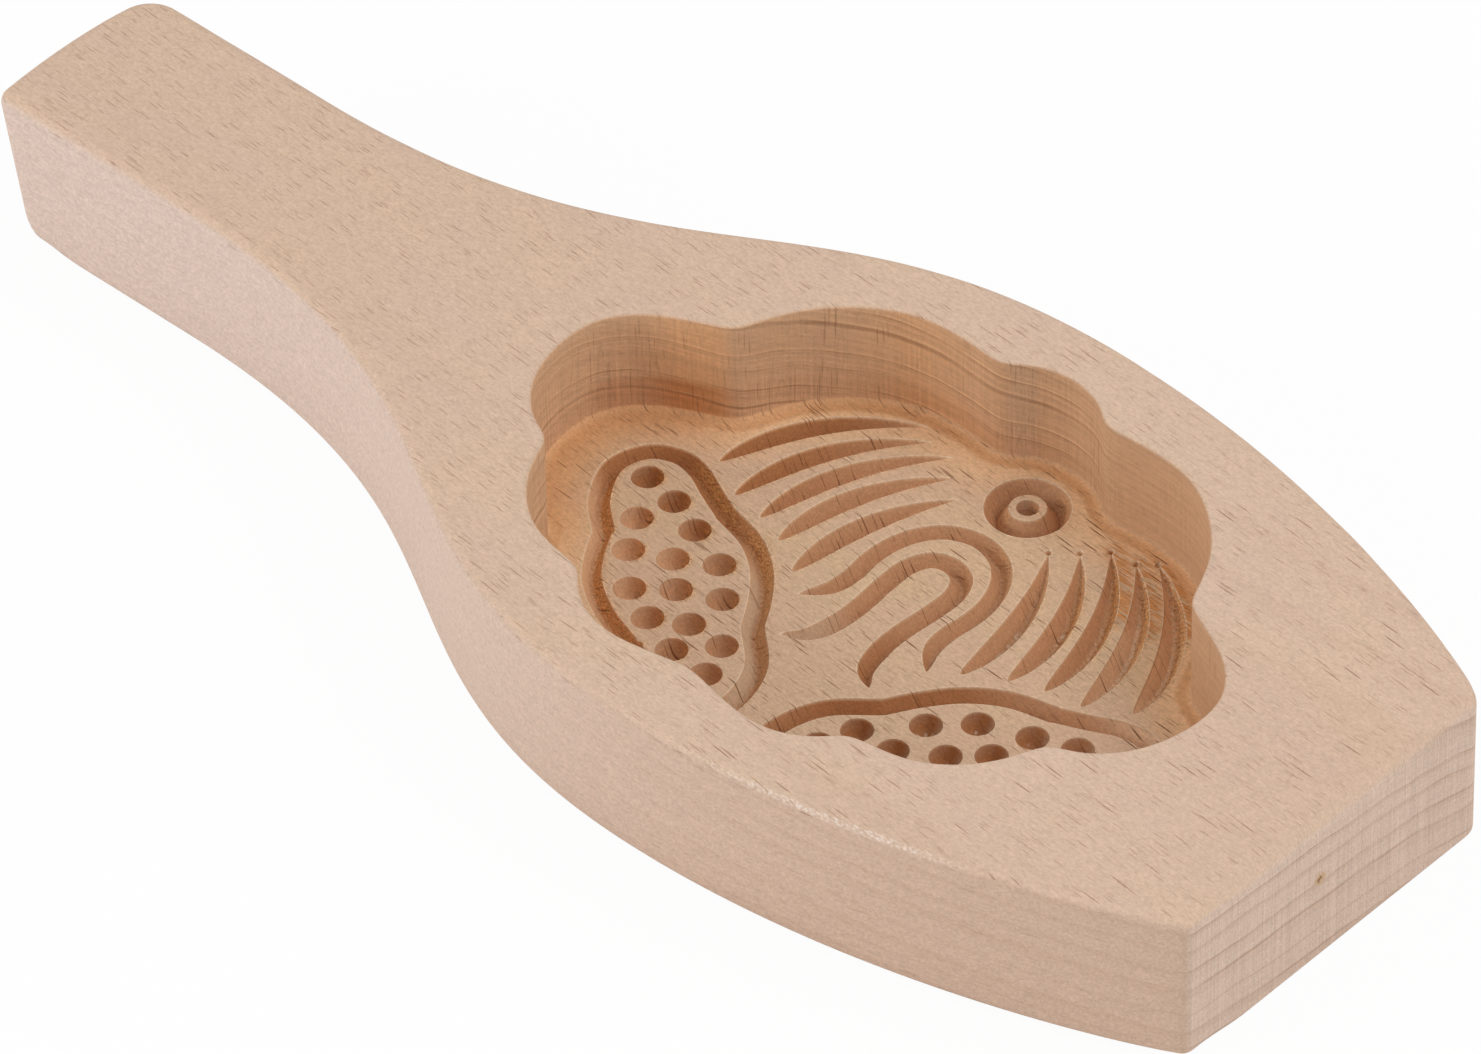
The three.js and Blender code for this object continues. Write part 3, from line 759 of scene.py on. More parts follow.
def seed_height(tree, given):
    """Height of the nearest seed's hole."""
    add = partial(add_node, tree)
    seeds = add("GeometryNodeObjectInfo", {"Object": given["Seeds"]}).outputs["Geometry"]
    to_seed = add("GeometryNodeProximity", {0: seeds}, target_element="POINTS").outputs["Distance"]
    return bowl_height(tree, given, to_seed, given["Seed radius"], given["Seed depth"])


def eye_heights(tree, given):
    """Heights of the pointed groove round the eye and of the hole in its middle."""
    add = partial(add_node, tree)
    place = add("GeometryNodeInputPosition").outputs[0]
    to_eye = add("ShaderNodeVectorMath", {
        0: place, 1: given["Eye centre"],
    }, operation="DISTANCE").outputs["Value"]
    off_ring = add("ShaderNodeMath", {
        0: to_eye, 1: given["Eye groove radius"],
    }, operation="SUBTRACT").outputs[0]
    off_ring = add("ShaderNodeMath", {0: off_ring}, operation="ABSOLUTE").outputs[0]
    rise = add("ShaderNodeMath", {0: off_ring, 1: FLANK}, operation="DIVIDE").outputs[0]
    valley = add("ShaderNodeMath", {
        0: given["Floor height"], 1: given["Eye groove depth"],
    }, operation="SUBTRACT").outputs[0]
    ring = add("ShaderNodeMath", {0: valley, 1: rise}, operation="ADD").outputs[0]
    return ring, bowl_height(tree, given, to_eye, given["Eye hole radius"], given["Seed depth"])


def tear_fibres(tree, given, geometry, on_floor):
    """Roughens the flanks that face the handle, where the bit leaves the wood and tears its fibres."""
    add = partial(add_node, tree)
    normal = add("GeometryNodeInputNormal").outputs[0]
    facing = add("ShaderNodeVectorMath", {
        0: normal, 1: TORN_FACING,
    }, operation="DOT_PRODUCT").outputs["Value"]
    steep = add("ShaderNodeMapRange", {
        0: facing, 1: TORN_FROM, 2: TORN_FULL,
    }, interpolation_type="SMOOTHSTEP").outputs[0]
    flank = add("GeometryNodeSwitch", {0: on_floor, 1: 0.0, 2: steep}, input_type="FLOAT").outputs[0]
    torn = add("GeometryNodeBlurAttribute", {0: flank, "Iterations": TORN_BLUR}, data_type="FLOAT").outputs[0]
    marked = add("GeometryNodeStoreNamedAttribute", {
        "Geometry": geometry, "Name": "torn", "Value": torn,
    }, data_type="FLOAT", domain="POINT").outputs[0]

    place = add("GeometryNodeInputPosition").outputs[0]
    per_metre = tuple(count / MM for count in FIBRES_PER_MM)
    fibre_place = add("ShaderNodeVectorMath", {0: place, 1: per_metre}, operation="MULTIPLY").outputs[0]
    fibre = add("ShaderNodeTexNoise", {"Vector": fibre_place, "Scale": 1.0, "Detail": 2.0}).outputs[0]
    either_way = add("ShaderNodeMath", {0: fibre, 1: 0.5}, operation="SUBTRACT").outputs[0]
    torn_again = add("GeometryNodeInputNamedAttribute", {"Name": "torn"}, data_type="FLOAT").outputs[0]
    share = add("ShaderNodeMath", {0: either_way, 1: torn_again}, operation="MULTIPLY").outputs[0]
    both_ways = add("ShaderNodeMath", {0: given["Torn depth"], 1: 2.0}, operation="MULTIPLY").outputs[0]
    pull = add("ShaderNodeMath", {0: share, 1: both_ways}, operation="MULTIPLY").outputs[0]
    offset = add("ShaderNodeVectorMath", {0: normal, "Scale": pull}, operation="SCALE").outputs[0]
    return add("GeometryNodeSetPosition", {0: marked, "Selection": on_floor, "Offset": offset}).outputs[0]


def carving_tree():
    """Cuts strokes, seeds and the eye into the points that are marked as floor."""
    tree = bpy.data.node_groups.new("carve_floor", "GeometryNodeTree")
    for name, kind in CARVING_INPUTS.items():
        tree.interface.new_socket(name, in_out="INPUT", socket_type=kind)
    tree.interface.new_socket("Geometry", in_out="OUTPUT", socket_type="NodeSocketGeometry")
    add = partial(add_node, tree)
    given = add("NodeGroupInput").outputs
    on_floor = add("GeometryNodeInputNamedAttribute", {"Name": "floor"}, data_type="BOOLEAN").outputs[0]

    lowest = stroke_height(tree, given)
    for height in (seed_height(tree, given), *eye_heights(tree, given)):
        lowest = add("ShaderNodeMath", {0: lowest, 1: height}, operation="MINIMUM").outputs[0]

    # How deep the wood is cut, in millimetres: 0 on a lip, and down to -1 away from the cuts
    depth = add("ShaderNodeMath", {0: given["Floor height"], 1: lowest}, operation="SUBTRACT").outputs[0]
    cut = add("ShaderNodeMath", {0: depth, 1: MM}, operation="DIVIDE").outputs[0]
    cut = add("ShaderNodeMath", {0: cut, 1: NOT_CUT}, operation="MAXIMUM").outputs[0]
    cut = add("GeometryNodeSwitch", {0: on_floor, 1: NOT_CUT, 2: cut}, input_type="FLOAT").outputs[0]
    measured = add("GeometryNodeStoreNamedAttribute", {
        "Geometry": given["Geometry"], "Name": "cut", "Value": cut,
    }, data_type="FLOAT", domain="POINT").outputs[0]

    eased = add("ShaderNodeMath", {
        0: lowest, 1: given["Floor height"], 2: given["Lip ease"],
    }, operation="SMOOTH_MIN").outputs[0]
    place = add("ShaderNodeSeparateXYZ", {0: add("GeometryNodeInputPosition").outputs[0]}).outputs
    lowered = add("ShaderNodeCombineXYZ", {0: place[0], 1: place[1], 2: eased}).outputs[0]
    carved = add("GeometryNodeSetPosition", {
        0: measured, "Selection": on_floor, "Position": lowered,
    }).outputs[0]
    torn = tear_fibres(tree, given, carved, on_floor)

    # Lips and valleys are creases, everything else is shaded smooth
    angle = add("GeometryNodeInputMeshEdgeAngle").outputs[0]
    crease = add("FunctionNodeCompare", {
        0: angle, 1: given["Crease angle"],
    }, operation="GREATER_THAN").outputs[0]
    creased = add("GeometryNodeSetShadeSmooth", {
        0: torn, "Selection": crease, "Shade Smooth": False,
    }, domain="EDGE").outputs[0]
    realized = add("GeometryNodeRealizeInstances", {0: creased}).outputs[0]
    finished = add("GeometryNodeSetMaterial", {0: realized, "Material": given["Material"]}).outputs[0]
    add("NodeGroupOutput", {0: finished})
    return tree


def carve(block, material):
    """Runs the carving on the block and leaves the result as a plain mesh."""
    helpers = {"Strokes": stroke_curves(), "Bit profile": bit_profile(), "Seeds": seed_points()}
    tree = carving_tree()
    modifier = block.modifiers.new("carving", "NODES")
    modifier.node_group = tree
    sizes = {
        "Floor height": FLOOR * MM, "Lip ease": LIP_EASE * MM, "Seed radius": SEED_RADIUS * MM,
        "Seed depth": SEED_DEPTH * MM, "Eye groove radius": EYE_GROOVE_RADIUS * MM,
        "Eye groove depth": EYE_GROOVE_DEPTH * MM, "Eye hole radius": EYE_HOLE_RADIUS * MM,
        "Eye centre": ((CAVITY_X + EYE_CENTRE[0]) * MM, EYE_CENTRE[1] * MM, FLOOR * MM),
        "Torn depth": TORN_DEPTH * MM, "Crease angle": CREASE_ANGLE,
    }
    named = {**helpers, **sizes, "Material": material}
    for socket in tree.interface.items_tree:
        if socket.in_out == "INPUT" and socket.name in named:
            modifier[socket.identifier] = named[socket.name]
    block.update_tag()
    depsgraph = bpy.context.evaluated_depsgraph_get()
    result = bpy.data.meshes.new_from_object(block.evaluated_get(depsgraph))
    block.modifiers.clear()
    block.data = result
    for helper in helpers.values():
        bpy.data.objects.remove(helper)
    return block


# Arithmetic, coats and noise for the material. A mask is a socket that goes from 0 to 1

def total(tree, *values):
    """The sum of sockets and numbers."""
    add = partial(add_node, tree, "ShaderNodeMath", operation="ADD")
    return reduce(lambda a, b: add({0: a, 1: b}).outputs[0], values)


def either(tree, *masks):
    """A mask that shows where any of the given ones does."""
    larger = partial(add_node, tree, "ShaderNodeMath", operation="MAXIMUM")
    return reduce(lambda a, b: larger({0: a, 1: b}).outputs[0], masks)


def rest_of(tree, mask):
    """A mask that shows where the given one doesn't."""
    return add_node(tree, "ShaderNodeMath", {0: 1.0, 1: mask}, operation="SUBTRACT").outputs[0]


def product(tree, *terms):
    """The product of sockets, numbers and fades. A fade is a value with two numbers, between which it goes
    smoothly from 0 to 1, or from the third number to the fourth where it has four."""
    fade = partial(add_node, tree, "ShaderNodeMapRange", interpolation_type="SMOOTHSTEP")
    multiply = partial(add_node, tree, "ShaderNodeMath", operation="MULTIPLY")
    factors = [fade(dict(enumerate(term))).outputs[0] if isinstance(term, tuple) else term for term in terms]
    return reduce(lambda a, b: multiply({0: a, 1: b}).outputs[0], factors)


def laid_over(tree, base, *coats):
    """A colour with others laid over it in turn. A coat is a colour and then the terms of the mask where it
    shows. A colour is sRGB hex or a socket."""
    def paint(colour):
        return srgb(colour) if isinstance(colour, str) else colour

    result = paint(base)
    for colour, *terms in coats:
        shown = product(tree, *terms)
        coat = {0: shown, 6: result, 7: paint(colour)}
        result = add_node(tree, "ShaderNodeMix", coat, data_type="RGBA").outputs[2]
    return result


def noise_of(tree, place, size, detail=2.0):
    """Noise from about -1 to 1. At a place, the size is its features' length, width and height, in
    millimetres. Along a single value it is the number of features in a millimetre."""
    MOSTLY_ABOVE = 0.2
    MOSTLY_BELOW = 0.8
    if isinstance(size, tuple):
        scaled = add_node(tree, "ShaderNodeVectorMath", {0: place, 1: size}, operation="DIVIDE").outputs[0]
        raw = add_node(tree, "ShaderNodeTexNoise", {"Vector": scaled, "Scale": 1.0, "Detail": detail})
    else:
        line = {"W": place, "Scale": size, "Detail": detail}
        raw = add_node(tree, "ShaderNodeTexNoise", line, noise_dimensions="1D")
    spread = {0: raw.outputs[0], 1: MOSTLY_ABOVE, 2: MOSTLY_BELOW, 3: -1.0, 4: 1.0}
    return add_node(tree, "ShaderNodeMapRange", spread, clamp=False).outputs[0]


# Material

def points_on_block(tree):
    """Where a point of the block lies, in millimetres, which way it faces, and how it was worked."""
    add = partial(add_node, tree)
    mask = partial(product, tree)
    at = SimpleNamespace()
    coordinates = add("ShaderNodeTexCoord").outputs
    to_mm = {0: coordinates["Object"], 1: (1 / MM,) * 3}
    at.place = add("ShaderNodeVectorMath", to_mm, operation="MULTIPLY").outputs[0]
    at.along, at.across, level = add("ShaderNodeSeparateXYZ", {0: at.place}).outputs
    at.right = add("ShaderNodeMath", {0: at.along, 1: CAVITY_X}, operation="SUBTRACT").outputs[0]
    at.above_floor = add("ShaderNodeMath", {0: level, 1: FLOOR}, operation="SUBTRACT").outputs[0]
    at.to_flat_end = mask((at.along, -70, 95))

    # How much a point faces +X and +Y, and then how much either way along, across, and up or down
    at.facing_x, at.facing_y, _ = add("ShaderNodeSeparateXYZ", {0: coordinates["Normal"]}).outputs
    unsigned = add("ShaderNodeVectorMath", {0: coordinates["Normal"]}, operation="ABSOLUTE").outputs[0]
    at.end_on, at.side_on, at.face_on = add("ShaderNodeSeparateXYZ", {0: unsigned}).outputs
    at.steep = mask((at.face_on, 0.92, 0.35))
    at.upright = mask((at.face_on, 0.45, 0.12))

    # How it was worked, from the mesh's own attributes
    at.routed, at.sheltered, at.torn, at.torn_floor, at.cut = (
        add("ShaderNodeAttribute", attribute_name=name).outputs["Fac"]
        for name in ("routed", "sheltered", "torn", "torn_floor", "cut"))
    at.sanded = rest_of(tree, at.routed)
    at.end_grain = mask((at.end_on, 0.8, 0.97), at.sanded)
    at.on_wall = mask(at.routed, at.upright)
    at.in_cut = mask((at.cut, 0.05, 0.5))
    off_lip = add("ShaderNodeMath", {0: at.cut}, operation="ABSOLUTE").outputs[0]
    at.lip = mask((off_lip, LIP_WIDTH, 0.0))

    # The wall shows its lines and cutter marks less in its right half
    at.lined = mask((at.right, 5, 14, 1.0, 0.12))
    return at


def growth_rings(tree, at):
    """Nearly flat layers that drop 9 degrees towards the far side, unevenly spaced."""
    mask = partial(product, tree)
    pattern = partial(noise_of, tree)
    rings = SimpleNamespace()
    tilted = add_node(tree, "ShaderNodeVectorMath", {0: at.place, 1: RING_TILT}, operation="DOT_PRODUCT")
    slow = mask(pattern(at.place, (170, 60, 60), 1.0), 3.4)
    wobble = mask(pattern(at.place, (16, 9, 7)), 0.42)
    layered = total(tree, tilted.outputs["Value"], slow, wobble)
    uneven = total(tree, layered, mask(pattern(layered, 0.21, 1.0), 1.7))
    count = add_node(tree, "ShaderNodeMath", {0: uneven, 1: RING_SPACING}, operation="DIVIDE").outputs[0]
    share = add_node(tree, "ShaderNodeMath", {0: count}, operation="FRACT").outputs[0]
    rings.broad = mask((share, 0.45, 0.93), (share, 1.0, 0.96))
    rings.dark = mask((share, 0.84, 0.94), (share, 1.0, 0.97))
    rings.pale = mask((share, 0.0, 0.02), (share, 0.1, 0.05))
    rings.patch = mask((pattern(at.place, (14, 14, 2.2), 1.0), -0.5, 0.6))
    rings.bands = pattern(layered, 1.3, 3.0)
    return rings


def ray_flecks(tree, at):
    """Thin spindles along the grain, in two sizes, which the saw met at 5 degrees. They fade on upright wood,
    on the end, and where the wall runs along the grain."""
    add = partial(add_node, tree)
    mask = partial(product, tree)
    bend = mask(noise_of(tree, at.place, (30, 9, 30), 1.0), 0.5)
    sideways = add("ShaderNodeCombineXYZ", {1: bend}).outputs[0]
    bent = add("ShaderNodeVectorMath", {0: at.place, 1: sideways}, operation="ADD").outputs[0]
    side = mask(at.steep, at.sanded)
    sanded_side = add("ShaderNodeMath", {0: side, 1: 0.5}, operation="GREATER_THAN").outputs[0]

    def spindles(on_face, on_side, fill, seed):
        """Spindles with one length, width and height on flat and routed wood, and others on sanded
        sides."""
        place = {"Vector": bent, "Location": (seed, seed, seed), "Rotation": (0, 0, RAY_ANGLE)}
        turned = add("ShaderNodeMapping", place).outputs[0]
        face_cell, side_cell = (tuple(size / 2 / fill for size in sizes) for sizes in (on_face, on_side))
        cells = {0: sanded_side, 4: face_cell, 5: side_cell}
        cell_size = add("ShaderNodeMix", cells, data_type="VECTOR").outputs[1]
        cell = add("ShaderNodeVectorMath", {0: turned, 1: cell_size}, operation="DIVIDE").outputs[0]
        found = add("ShaderNodeTexVoronoi", {"Vector": cell, "Scale": 1.0, "Randomness": 1.0}).outputs
        strength = add("ShaderNodeSeparateColor", {0: found["Color"]}).outputs[0]
        return mask((found["Distance"], fill, fill / 2), (strength, 0.05, 0.8))

    bold = mask(spindles((4.8, 0.24, 9), (3.5, 6, 0.2), 0.22, 11.0), (at.to_flat_end, 0.0, 0.9, 0.55, 1.0))
    fine = mask(spindles((2.8, 0.17, 5), (2.6, 4, 0.15), 0.27, 37.0), (at.to_flat_end, 0.0, 1.0, 0.75, 0.6))
    fainter = rest_of(tree, mask(at.upright, 0.55))
    off_end = mask((mask(at.end_on, at.sanded), 0.6, 0.2))
    along_grain = mask(at.on_wall, (at.side_on, 0.9, 0.975))
    return mask(either(tree, bold, fine), fainter, off_end, rest_of(tree, along_grain))


def fine_textures(tree, at):
    """Pores, sanding, fibres, rays on the end, and the cutter's marks up the wall."""
    mask = partial(product, tree)
    pattern = partial(noise_of, tree, at.place)
    grain = SimpleNamespace()

    # Pores, sanding grit and streaks, slow clouds of colour, and fibres that came loose
    grain.speckle = pattern((0.55, 0.26, 0.34), 1.0)
    grain.grit = pattern((1.2, 0.8, 0.9), 1.0)
    grain.streak = pattern((7, 0.4, 0.6))
    grain.cloud = pattern((22, 11, 11))
    grain.loose = pattern((3, 0.4, 0.4))

    # Faint fibres that slope across the far wall
    slope = {"Vector": at.place, "Rotation": (WALL_FIBRE_SLOPE, 0, 0)}
    sloped = add_node(tree, "ShaderNodeMapping", slope).outputs[0]
    grain.wall_fibres = noise_of(tree, sloped, (12, 6, 0.45))

    # On the end the rays are fine upright lines and broad paler streaks
    grain.ray_lines = pattern((40, 0.3, 18))
    grain.ray_bands = pattern((60, 2.6, 60), 1.0)

    # The cutter's marks run up the wall in patches, with a deeper score here and there
    chatter = pattern((0.34, 0.34, 26), 1.0)
    patch = pattern((9, 9, 7), 1.0)
    grain.hatch = mask(chatter, (patch, -0.5, 0.7, 0.05, 0.17), at.on_wall, (at.lined, 0.0, 1.0, 0.35, 1.0),
                       (at.above_floor, CAVITY_DEPTH - 1, 5, 0.6, 1.0))
    wandering = pattern((4.5, 4.5, 40), 1.0)
    off_score = add_node(tree, "ShaderNodeMath", {0: wandering}, operation="ABSOLUTE").outputs[0]
    grain.score = mask((off_score, 0.045, 0.0), at.on_wall, at.lined)
    return grain


def worked_wood(tree, at, grain):
    """The colour of the sanded outside, of the routed floor and wall, and of the cuts in the floor, with
    painted light and shade in the cavity.
    """
    mask = partial(product, tree)
    over = partial(laid_over, tree)
    top = over("#dabca2", ("#d9bba5", (grain.cloud, -0.6, 0.6)))
    side = over("#d9c2b4", ("#d1b39d", (at.along, -80, 85)))
    outside = over(top, (side, at.steep, (at.side_on, 0.3, 0.8)), ("#d6bcaa", at.end_grain))

    # Painted light and shade beside the wall: the floor there is painted warmer and darker, for the wall's
    # shade and its orange bounce light, and paler at the wall's foot in the left lobe, to make up for the
    # wall's shadow
    painted_light_by_wall = over("#d8a06b", ("#f0c495", (at.right, -50, -34), (at.sheltered, 1.0, 0.965)))
    floor = over("#d3b391", ("#d2b093", (grain.cloud, -0.6, 0.6)), (painted_light_by_wall, at.sheltered, 0.75))

    # Painted shade: the wall is painted browner low down on the left, and low on the left lobe's far wall,
    # where shade falls
    low = mask((at.above_floor, 7, 1), (at.right, 20, -30), 0.35)
    painted_lobe_shade = mask((at.above_floor, 6.6, 5), (at.right, -33, -48), (at.across, 0, 8), 0.75)
    wall = over("#e1b285", ("#cea682", (at.right, -40, -6)),
                ("#bf7b45", at.on_wall, either(tree, low, painted_lobe_shade)))

    # Cuts are brown, partly the cut wood's own colour and partly painted shade in the grooves. Painted shade
    # makes them darker over the left pod and in the right one, painted light makes the left pod's outer
    # groove paler, and the right fan's outer leaves are paler
    left_pod_top = mask((at.right, -20, -32), (at.across, -10, -2))
    right_pod = mask((at.right, -2, 6), (at.across, 4, -3))
    outer_groove = mask((at.right, -22, -32), (at.across, 0, -6))
    across_fan = total(tree, at.right, mask(at.across, 0.55))
    outer_leaves = mask((across_fan, 31, 41), (at.across, 4, 10))
    cuts = over("#c08d66", ("#a66838", either(tree, left_pod_top, right_pod)),
                ("#deb088", outer_groove, 0.7), ("#f2d0ae", outer_leaves, 0.9))

    # Painted light: flanks that face the flat end are painted paler, as if lit from that side, from the left
    # pod's inner groove to the loops' tips, and on the wall
    off_groove = total(tree, at.right, mask(at.across, 0.73), 19.8)
    low_left = mask((at.across, 2, -6), (off_groove, -3, -1.8), (at.right, 3, -3))
    return over(
        outside,
        (over(floor, (wall, at.steep)), at.routed),
        (cuts, at.in_cut, 0.85),
        ("#ceb497", at.in_cut, (at.facing_x, 0.1, 0.5), low_left, 0.6),
        ("#c9b39c", (at.facing_x, 0.3, 0.75), at.on_wall, 0.4),
    )


def torn_fibres(tree, at):
    """Masks of torn fibres on the cuts' flanks: orange ones at the leaves' heads and on the left, and greyish
    ones on the rest of the right fan."""
    off_middle = add_node(tree, "ShaderNodeMath", {0: at.right}, operation="ABSOLUTE").outputs[0]
    heads_and_left = either(tree, product(tree, (at.across, 6, 20)), product(tree, (at.right, 8, -4)))
    orange = product(tree, at.torn, (off_middle, 7, 22, 0.3, 1.0), heads_and_left)
    greyish = product(tree, at.torn, rest_of(tree, orange), (at.right, 3, 12))
    return orange, greyish


def ring_coats(tree, at, rings):
    """The growth rings: lines on the end and on the cavity's wall, and faint ones on the sides and faces."""
    mask = partial(product, tree)
    on_side = mask(at.steep, (at.to_flat_end, 0.35, 1.0, 0.0, 0.13))
    on_face = mask((at.to_flat_end, 0.5, 1.0, 0.02, 0.07))
    broad_shown = either(tree, on_side, on_face, mask(at.end_grain, 0.2))
    on_wall = mask(at.on_wall, at.lined, (rings.patch, 0.0, 1.0, 0.35, 1.0))
    dark_shown = either(tree, mask(on_wall, 0.42), mask(at.end_grain, rings.patch, 0.3))
    return (("#a87f5e", rings.broad, broad_shown, at.sanded), ("#8f5d3b", rings.dark, dark_shown),
            ("#e6c298", rings.pale, on_wall, 0.5))


def nick_and_highlight_coats(tree, at, grain):
    """A painted highlight on a stretch of the near edge, where its rounding catches the light, and a small
    nick in the flat end.
    """
    mask = partial(product, tree)
    # Painted highlight: a near-white sheen on the rounded near edge
    near_edge = mask((at.face_on, 0.4, 0.7), (at.face_on, 0.99, 0.9), (at.facing_y, -0.1, -0.4))
    painted_edge_highlight = mask(near_edge, (at.along, 40, 60), (at.along, 90, 76), (at.across, -30, -36))
    nick = {0: at.place, 1: NICK_PLACE}
    to_nick = add_node(tree, "ShaderNodeVectorMath", nick, operation="DISTANCE").outputs["Value"]
    ragged = total(tree, to_nick, mask(noise_of(tree, at.place, (0.5, 0.5, 0.9), 1.0), 0.45))
    return (("#efe6de", painted_edge_highlight, (grain.speckle, -0.5, 0.8), 0.5),
            ("#c99f68", (ragged, 1.3, 0.7), 0.6), ("#7d5a3c", (ragged, 0.6, 0.2), 0.8))


def beech():
    """Sanded and routed European beech, bare and matt: a pale pinkish tan with short dark ray flecks.

    The growth rings lie nearly flat in the board, so they show as lines on its end, as bands on the cavity's
    wall, and only faintly on its faces. Rays are upright sheets: dark dashes from above, and pale upright
    lines on the end. Wood that the router cut is browner than sanded wood, and fibres that it tore out are
    orange. Some colours are painted light and shade: beside and at the foot of the wall, in the cuts, on
    flanks that face the flat end, along the lips and on a stretch of the near edge."""
    material = bpy.data.materials.new("sanded_and_routed_beech")
    material.use_nodes = True
    tree = material.node_tree
    tree.nodes.clear()
    add = partial(add_node, tree)
    mask = partial(product, tree)
    at = points_on_block(tree)
    rings = growth_rings(tree, at)
    flecks = ray_flecks(tree, at)
    grain = fine_textures(tree, at)
    orange, greyish = torn_fibres(tree, at)
    pulled_out = mask(at.torn_floor, (grain.loose, -0.4, 0.2))
    crumbs = noise_of(tree, at.place, (0.7, 0.7, 0.7), 1.0)
    dust = mask((at.above_floor, -2.2, -2.7), (at.right, 6, 12), (crumbs, 0.05, 0.6), at.routed)
    fleck_strength = total(tree, 0.68, mask(at.routed, 0.3))
    fleck_colour = laid_over(tree, "#925f41", ("#764628", at.routed))
    colour = laid_over(
        tree, worked_wood(tree, at, grain),
        ("#c9b094", greyish, 0.55),
        ("#d89f62", orange, 0.8),
        ("#c07c3e", pulled_out, 0.8),
        ("#dccbb4", dust, 0.6),
        # Painted highlight: a pale line along the cuts' lips
        ("#ecd5b8", at.lip, 0.7),
        *ring_coats(tree, at, rings),
        (fleck_colour, flecks, fleck_strength),
        *nick_and_highlight_coats(tree, at, grain),
    )

    # Textures that darken or lighten the colour: anywhere, on the wall, on the end, and where fibres are torn
    speckle_strength = total(tree, 0.13, mask(at.routed, 0.03), mask(at.on_wall, -0.09))
    shade = total(
        tree, 1.0,
        mask(grain.speckle, speckle_strength), mask(grain.grit, 0.045), mask(grain.streak, 0.035),
        grain.hatch, mask(grain.score, -0.09), mask(grain.wall_fibres, at.on_wall, 0.07),
        mask(rings.bands, at.on_wall, (at.lined, 0.0, 1.0, 0.05, 0.11)),
        mask(rings.bands, at.end_grain, 0.045), mask(grain.ray_lines, at.end_grain, 0.13),
        mask(grain.ray_bands, at.end_grain, 0.05),
        mask(grain.speckle, orange, 0.4), mask(grain.loose, at.torn_floor, 0.25),
    )
    grey = add("ShaderNodeCombineColor", {0: shade, 1: shade, 2: shade}).outputs[0]
    shaded = add("ShaderNodeMix", {0: 1.0, 6: colour, 7: grey}, data_type="RGBA", blend_type="MULTIPLY")

    # Relief too fine for the mesh, in millimetres
    relief = total(
        tree, mask(grain.speckle, 0.016), mask(grain.streak, 0.01), mask(grain.hatch, 0.2),
        mask(flecks, -0.035), mask(grain.speckle, orange, 0.12), mask(grain.loose, at.torn_floor, 0.12),
    )
    bump = add("ShaderNodeBump", {"Height": relief, "Distance": MM, "Strength": 1.0}).outputs[0]
    shader = add("ShaderNodeBsdfPrincipled", {
        "Base Color": shaded.outputs[2], "Roughness": 0.68, "IOR": 1.45, "Specular IOR Level": 0.3,
        "Normal": bump,
    }).outputs[0]
    add("ShaderNodeOutputMaterial", {0: shader})
    return material


# Stage

def direction(azimuth, elevation):
    """The unit vector that is turned this far from +X towards +Y, and raised this far above the floor."""
    level = math.cos(elevation)
    return Vector((level * math.cos(azimuth), level * math.sin(azimuth), math.sin(elevation)))


def photo_camera():
    """The photograph's camera, fitted to the block's edges and corners."""
    PHOTO_WIDTH = 1481
    FOCAL_PIXELS = 12450
    AZIMUTH = math.radians(-46.23)
    ELEVATION = math.radians(42.5)
    ROLL = math.radians(-1.39)
    TARGET = Vector((3.5, 7.5, 0))
    DISTANCE = 1669.5
    NEAREST_SEEN = 100
    FARTHEST_SEEN = 20000
    SENSOR_WIDTH = 36
    back = direction(AZIMUTH, ELEVATION)
    level = Vector((-math.sin(AZIMUTH), math.cos(AZIMUTH), 0))
    above = back.cross(level)
    right = level * math.cos(ROLL) + above * math.sin(ROLL)
    up = above * math.cos(ROLL) - level * math.sin(ROLL)
    data = bpy.data.cameras.new("photo_camera")
    data.sensor_width = SENSOR_WIDTH
    data.lens = FOCAL_PIXELS * SENSOR_WIDTH / PHOTO_WIDTH
    data.clip_start = NEAREST_SEEN * MM
    data.clip_end = FARTHEST_SEEN * MM
    camera = link_object("photo_camera", data)
    turn = Matrix((right, up, back)).transposed().to_4x4()
    camera.matrix_world = Matrix.Translation((TARGET + back * DISTANCE) * MM) @ turn
    bpy.context.scene.camera = camera


def white_where_seen(tree):
    """1 for the rays to which the background is plain white: from the camera, a mirror or glass."""
    rays = add_node(tree, "ShaderNodeLightPath").outputs
    return either(tree, rays["Is Camera Ray"], rays["Is Glossy Ray"], rays["Is Transmission Ray"])


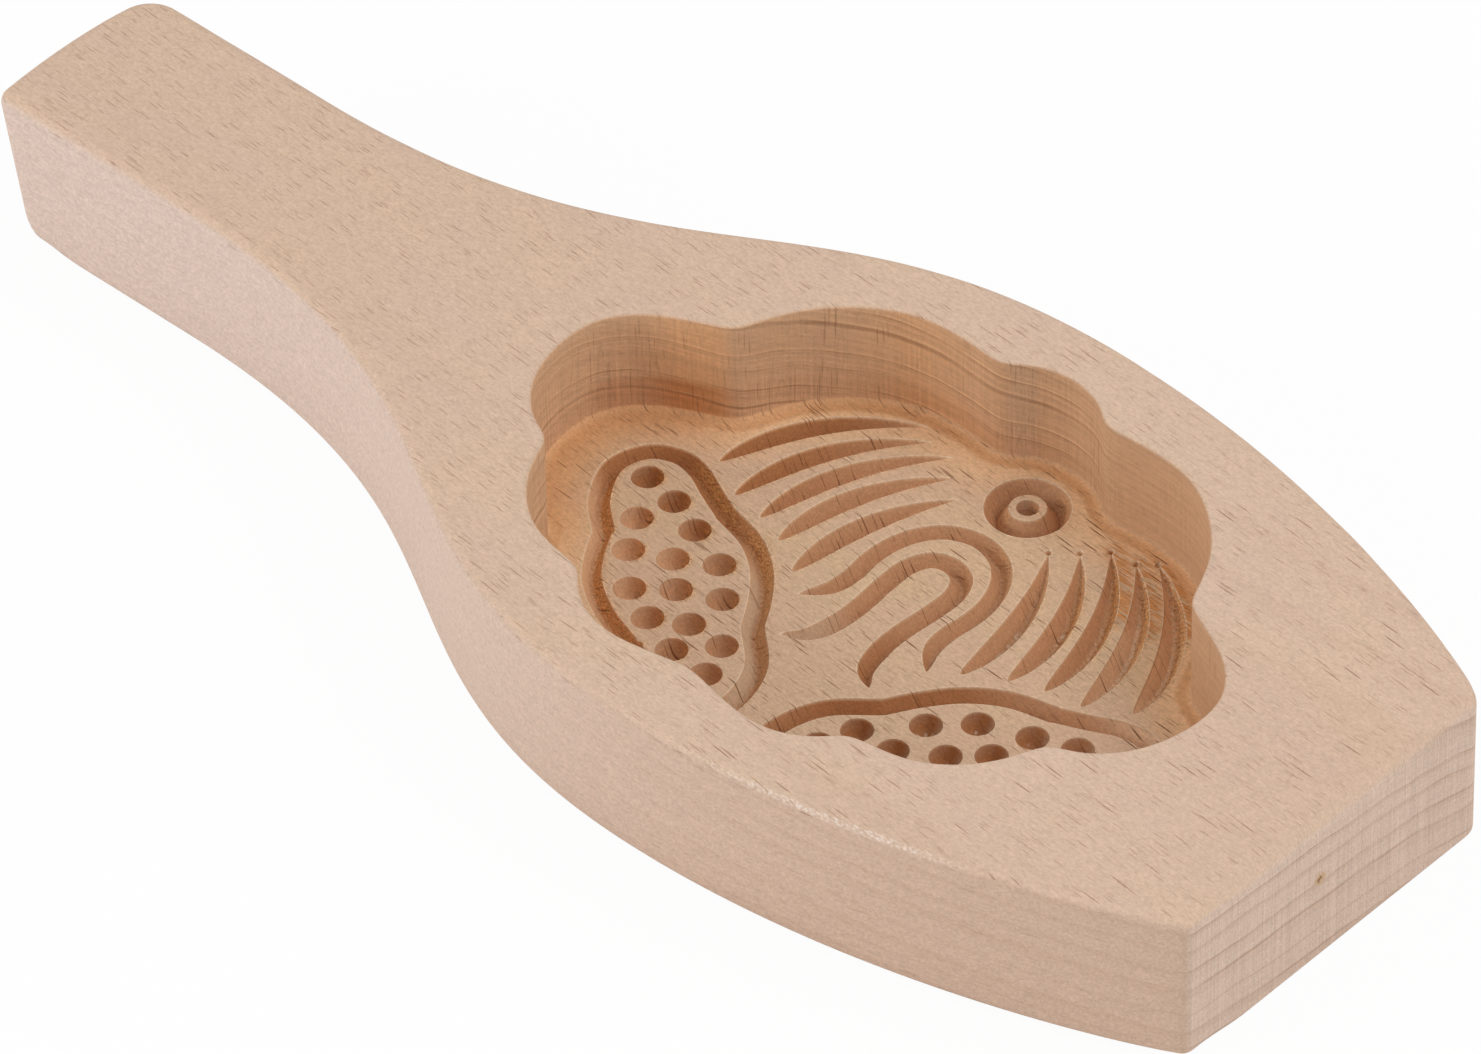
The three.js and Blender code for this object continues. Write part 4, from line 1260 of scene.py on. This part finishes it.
def soft_lamp(name, azimuth, elevation, watts):
    """A round soft box that points at the mould's middle, with its angles in degrees."""
    DISTANCE = 1200
    DIAMETER = 700
    out = direction(math.radians(azimuth), math.radians(elevation))
    data = bpy.data.lights.new(name, "AREA")
    data.shape = "DISK"
    data.size = DIAMETER * MM
    data.energy = watts
    lamp = link_object(name, data)
    lamp.location = out * (DISTANCE * MM)
    lamp.rotation_euler = out.to_track_quat("Z", "Y").to_euler()


def studio():
    """A white floor under a soft white dome, with a low soft box at the front left and a higher one at the
    right."""
    DOME_STRENGTH = 0.575
    FLOOR_HALF = 3000
    FLOOR_WHITENESS = 0.95
    FLOOR_GAP = 0.2
    WHITE = srgb("#ffffff")
    world = bpy.data.worlds.new("soft_dome")
    world.use_nodes = True
    tree = world.node_tree
    tree.nodes.clear()
    dome = add_node(tree, "ShaderNodeBackground", {"Color": WHITE, "Strength": DOME_STRENGTH}).outputs[0]
    plain = add_node(tree, "ShaderNodeBackground", {"Color": WHITE, "Strength": 1.0}).outputs[0]
    sky = add_node(tree, "ShaderNodeMixShader", {0: white_where_seen(tree), 1: dome, 2: plain}).outputs[0]
    add_node(tree, "ShaderNodeOutputWorld", {0: sky})
    bpy.context.scene.world = world
    soft_lamp("front_left_box", azimuth=-120, elevation=20, watts=5.0)
    soft_lamp("right_box", azimuth=30, elevation=50, watts=4.8)

    mesh = bpy.data.meshes.new("white_floor")
    half = FLOOR_HALF * MM
    corners = [(x * half, y * half, 0) for x, y in ((-1, -1), (1, -1), (1, 1), (-1, 1))]
    mesh.from_pydata(corners, [], [(0, 1, 2, 3)])
    floor = link_object("white_floor", mesh)
    floor.location.z = -FLOOR_GAP * MM
    material = bpy.data.materials.new("white_paper")
    material.use_nodes = True
    tree = material.node_tree
    tree.nodes.clear()
    whiteness = product(tree, white_where_seen(tree), FLOOR_WHITENESS)
    paper = add_node(tree, "ShaderNodeBsdfDiffuse", {"Color": srgb("#f6f6f6")}).outputs[0]
    glow = add_node(tree, "ShaderNodeEmission", {"Color": WHITE, "Strength": 1.0}).outputs[0]
    surface = add_node(tree, "ShaderNodeMixShader", {0: whiteness, 1: paper, 2: glow}).outputs[0]
    add_node(tree, "ShaderNodeOutputMaterial", {0: surface})
    mesh.materials.append(material)


photo_camera()
mould = carve(closed_block(), beech())
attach(mould, "root")
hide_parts("mould_block")
studio()

bpy.context.scene.view_settings.view_transform = "Standard"
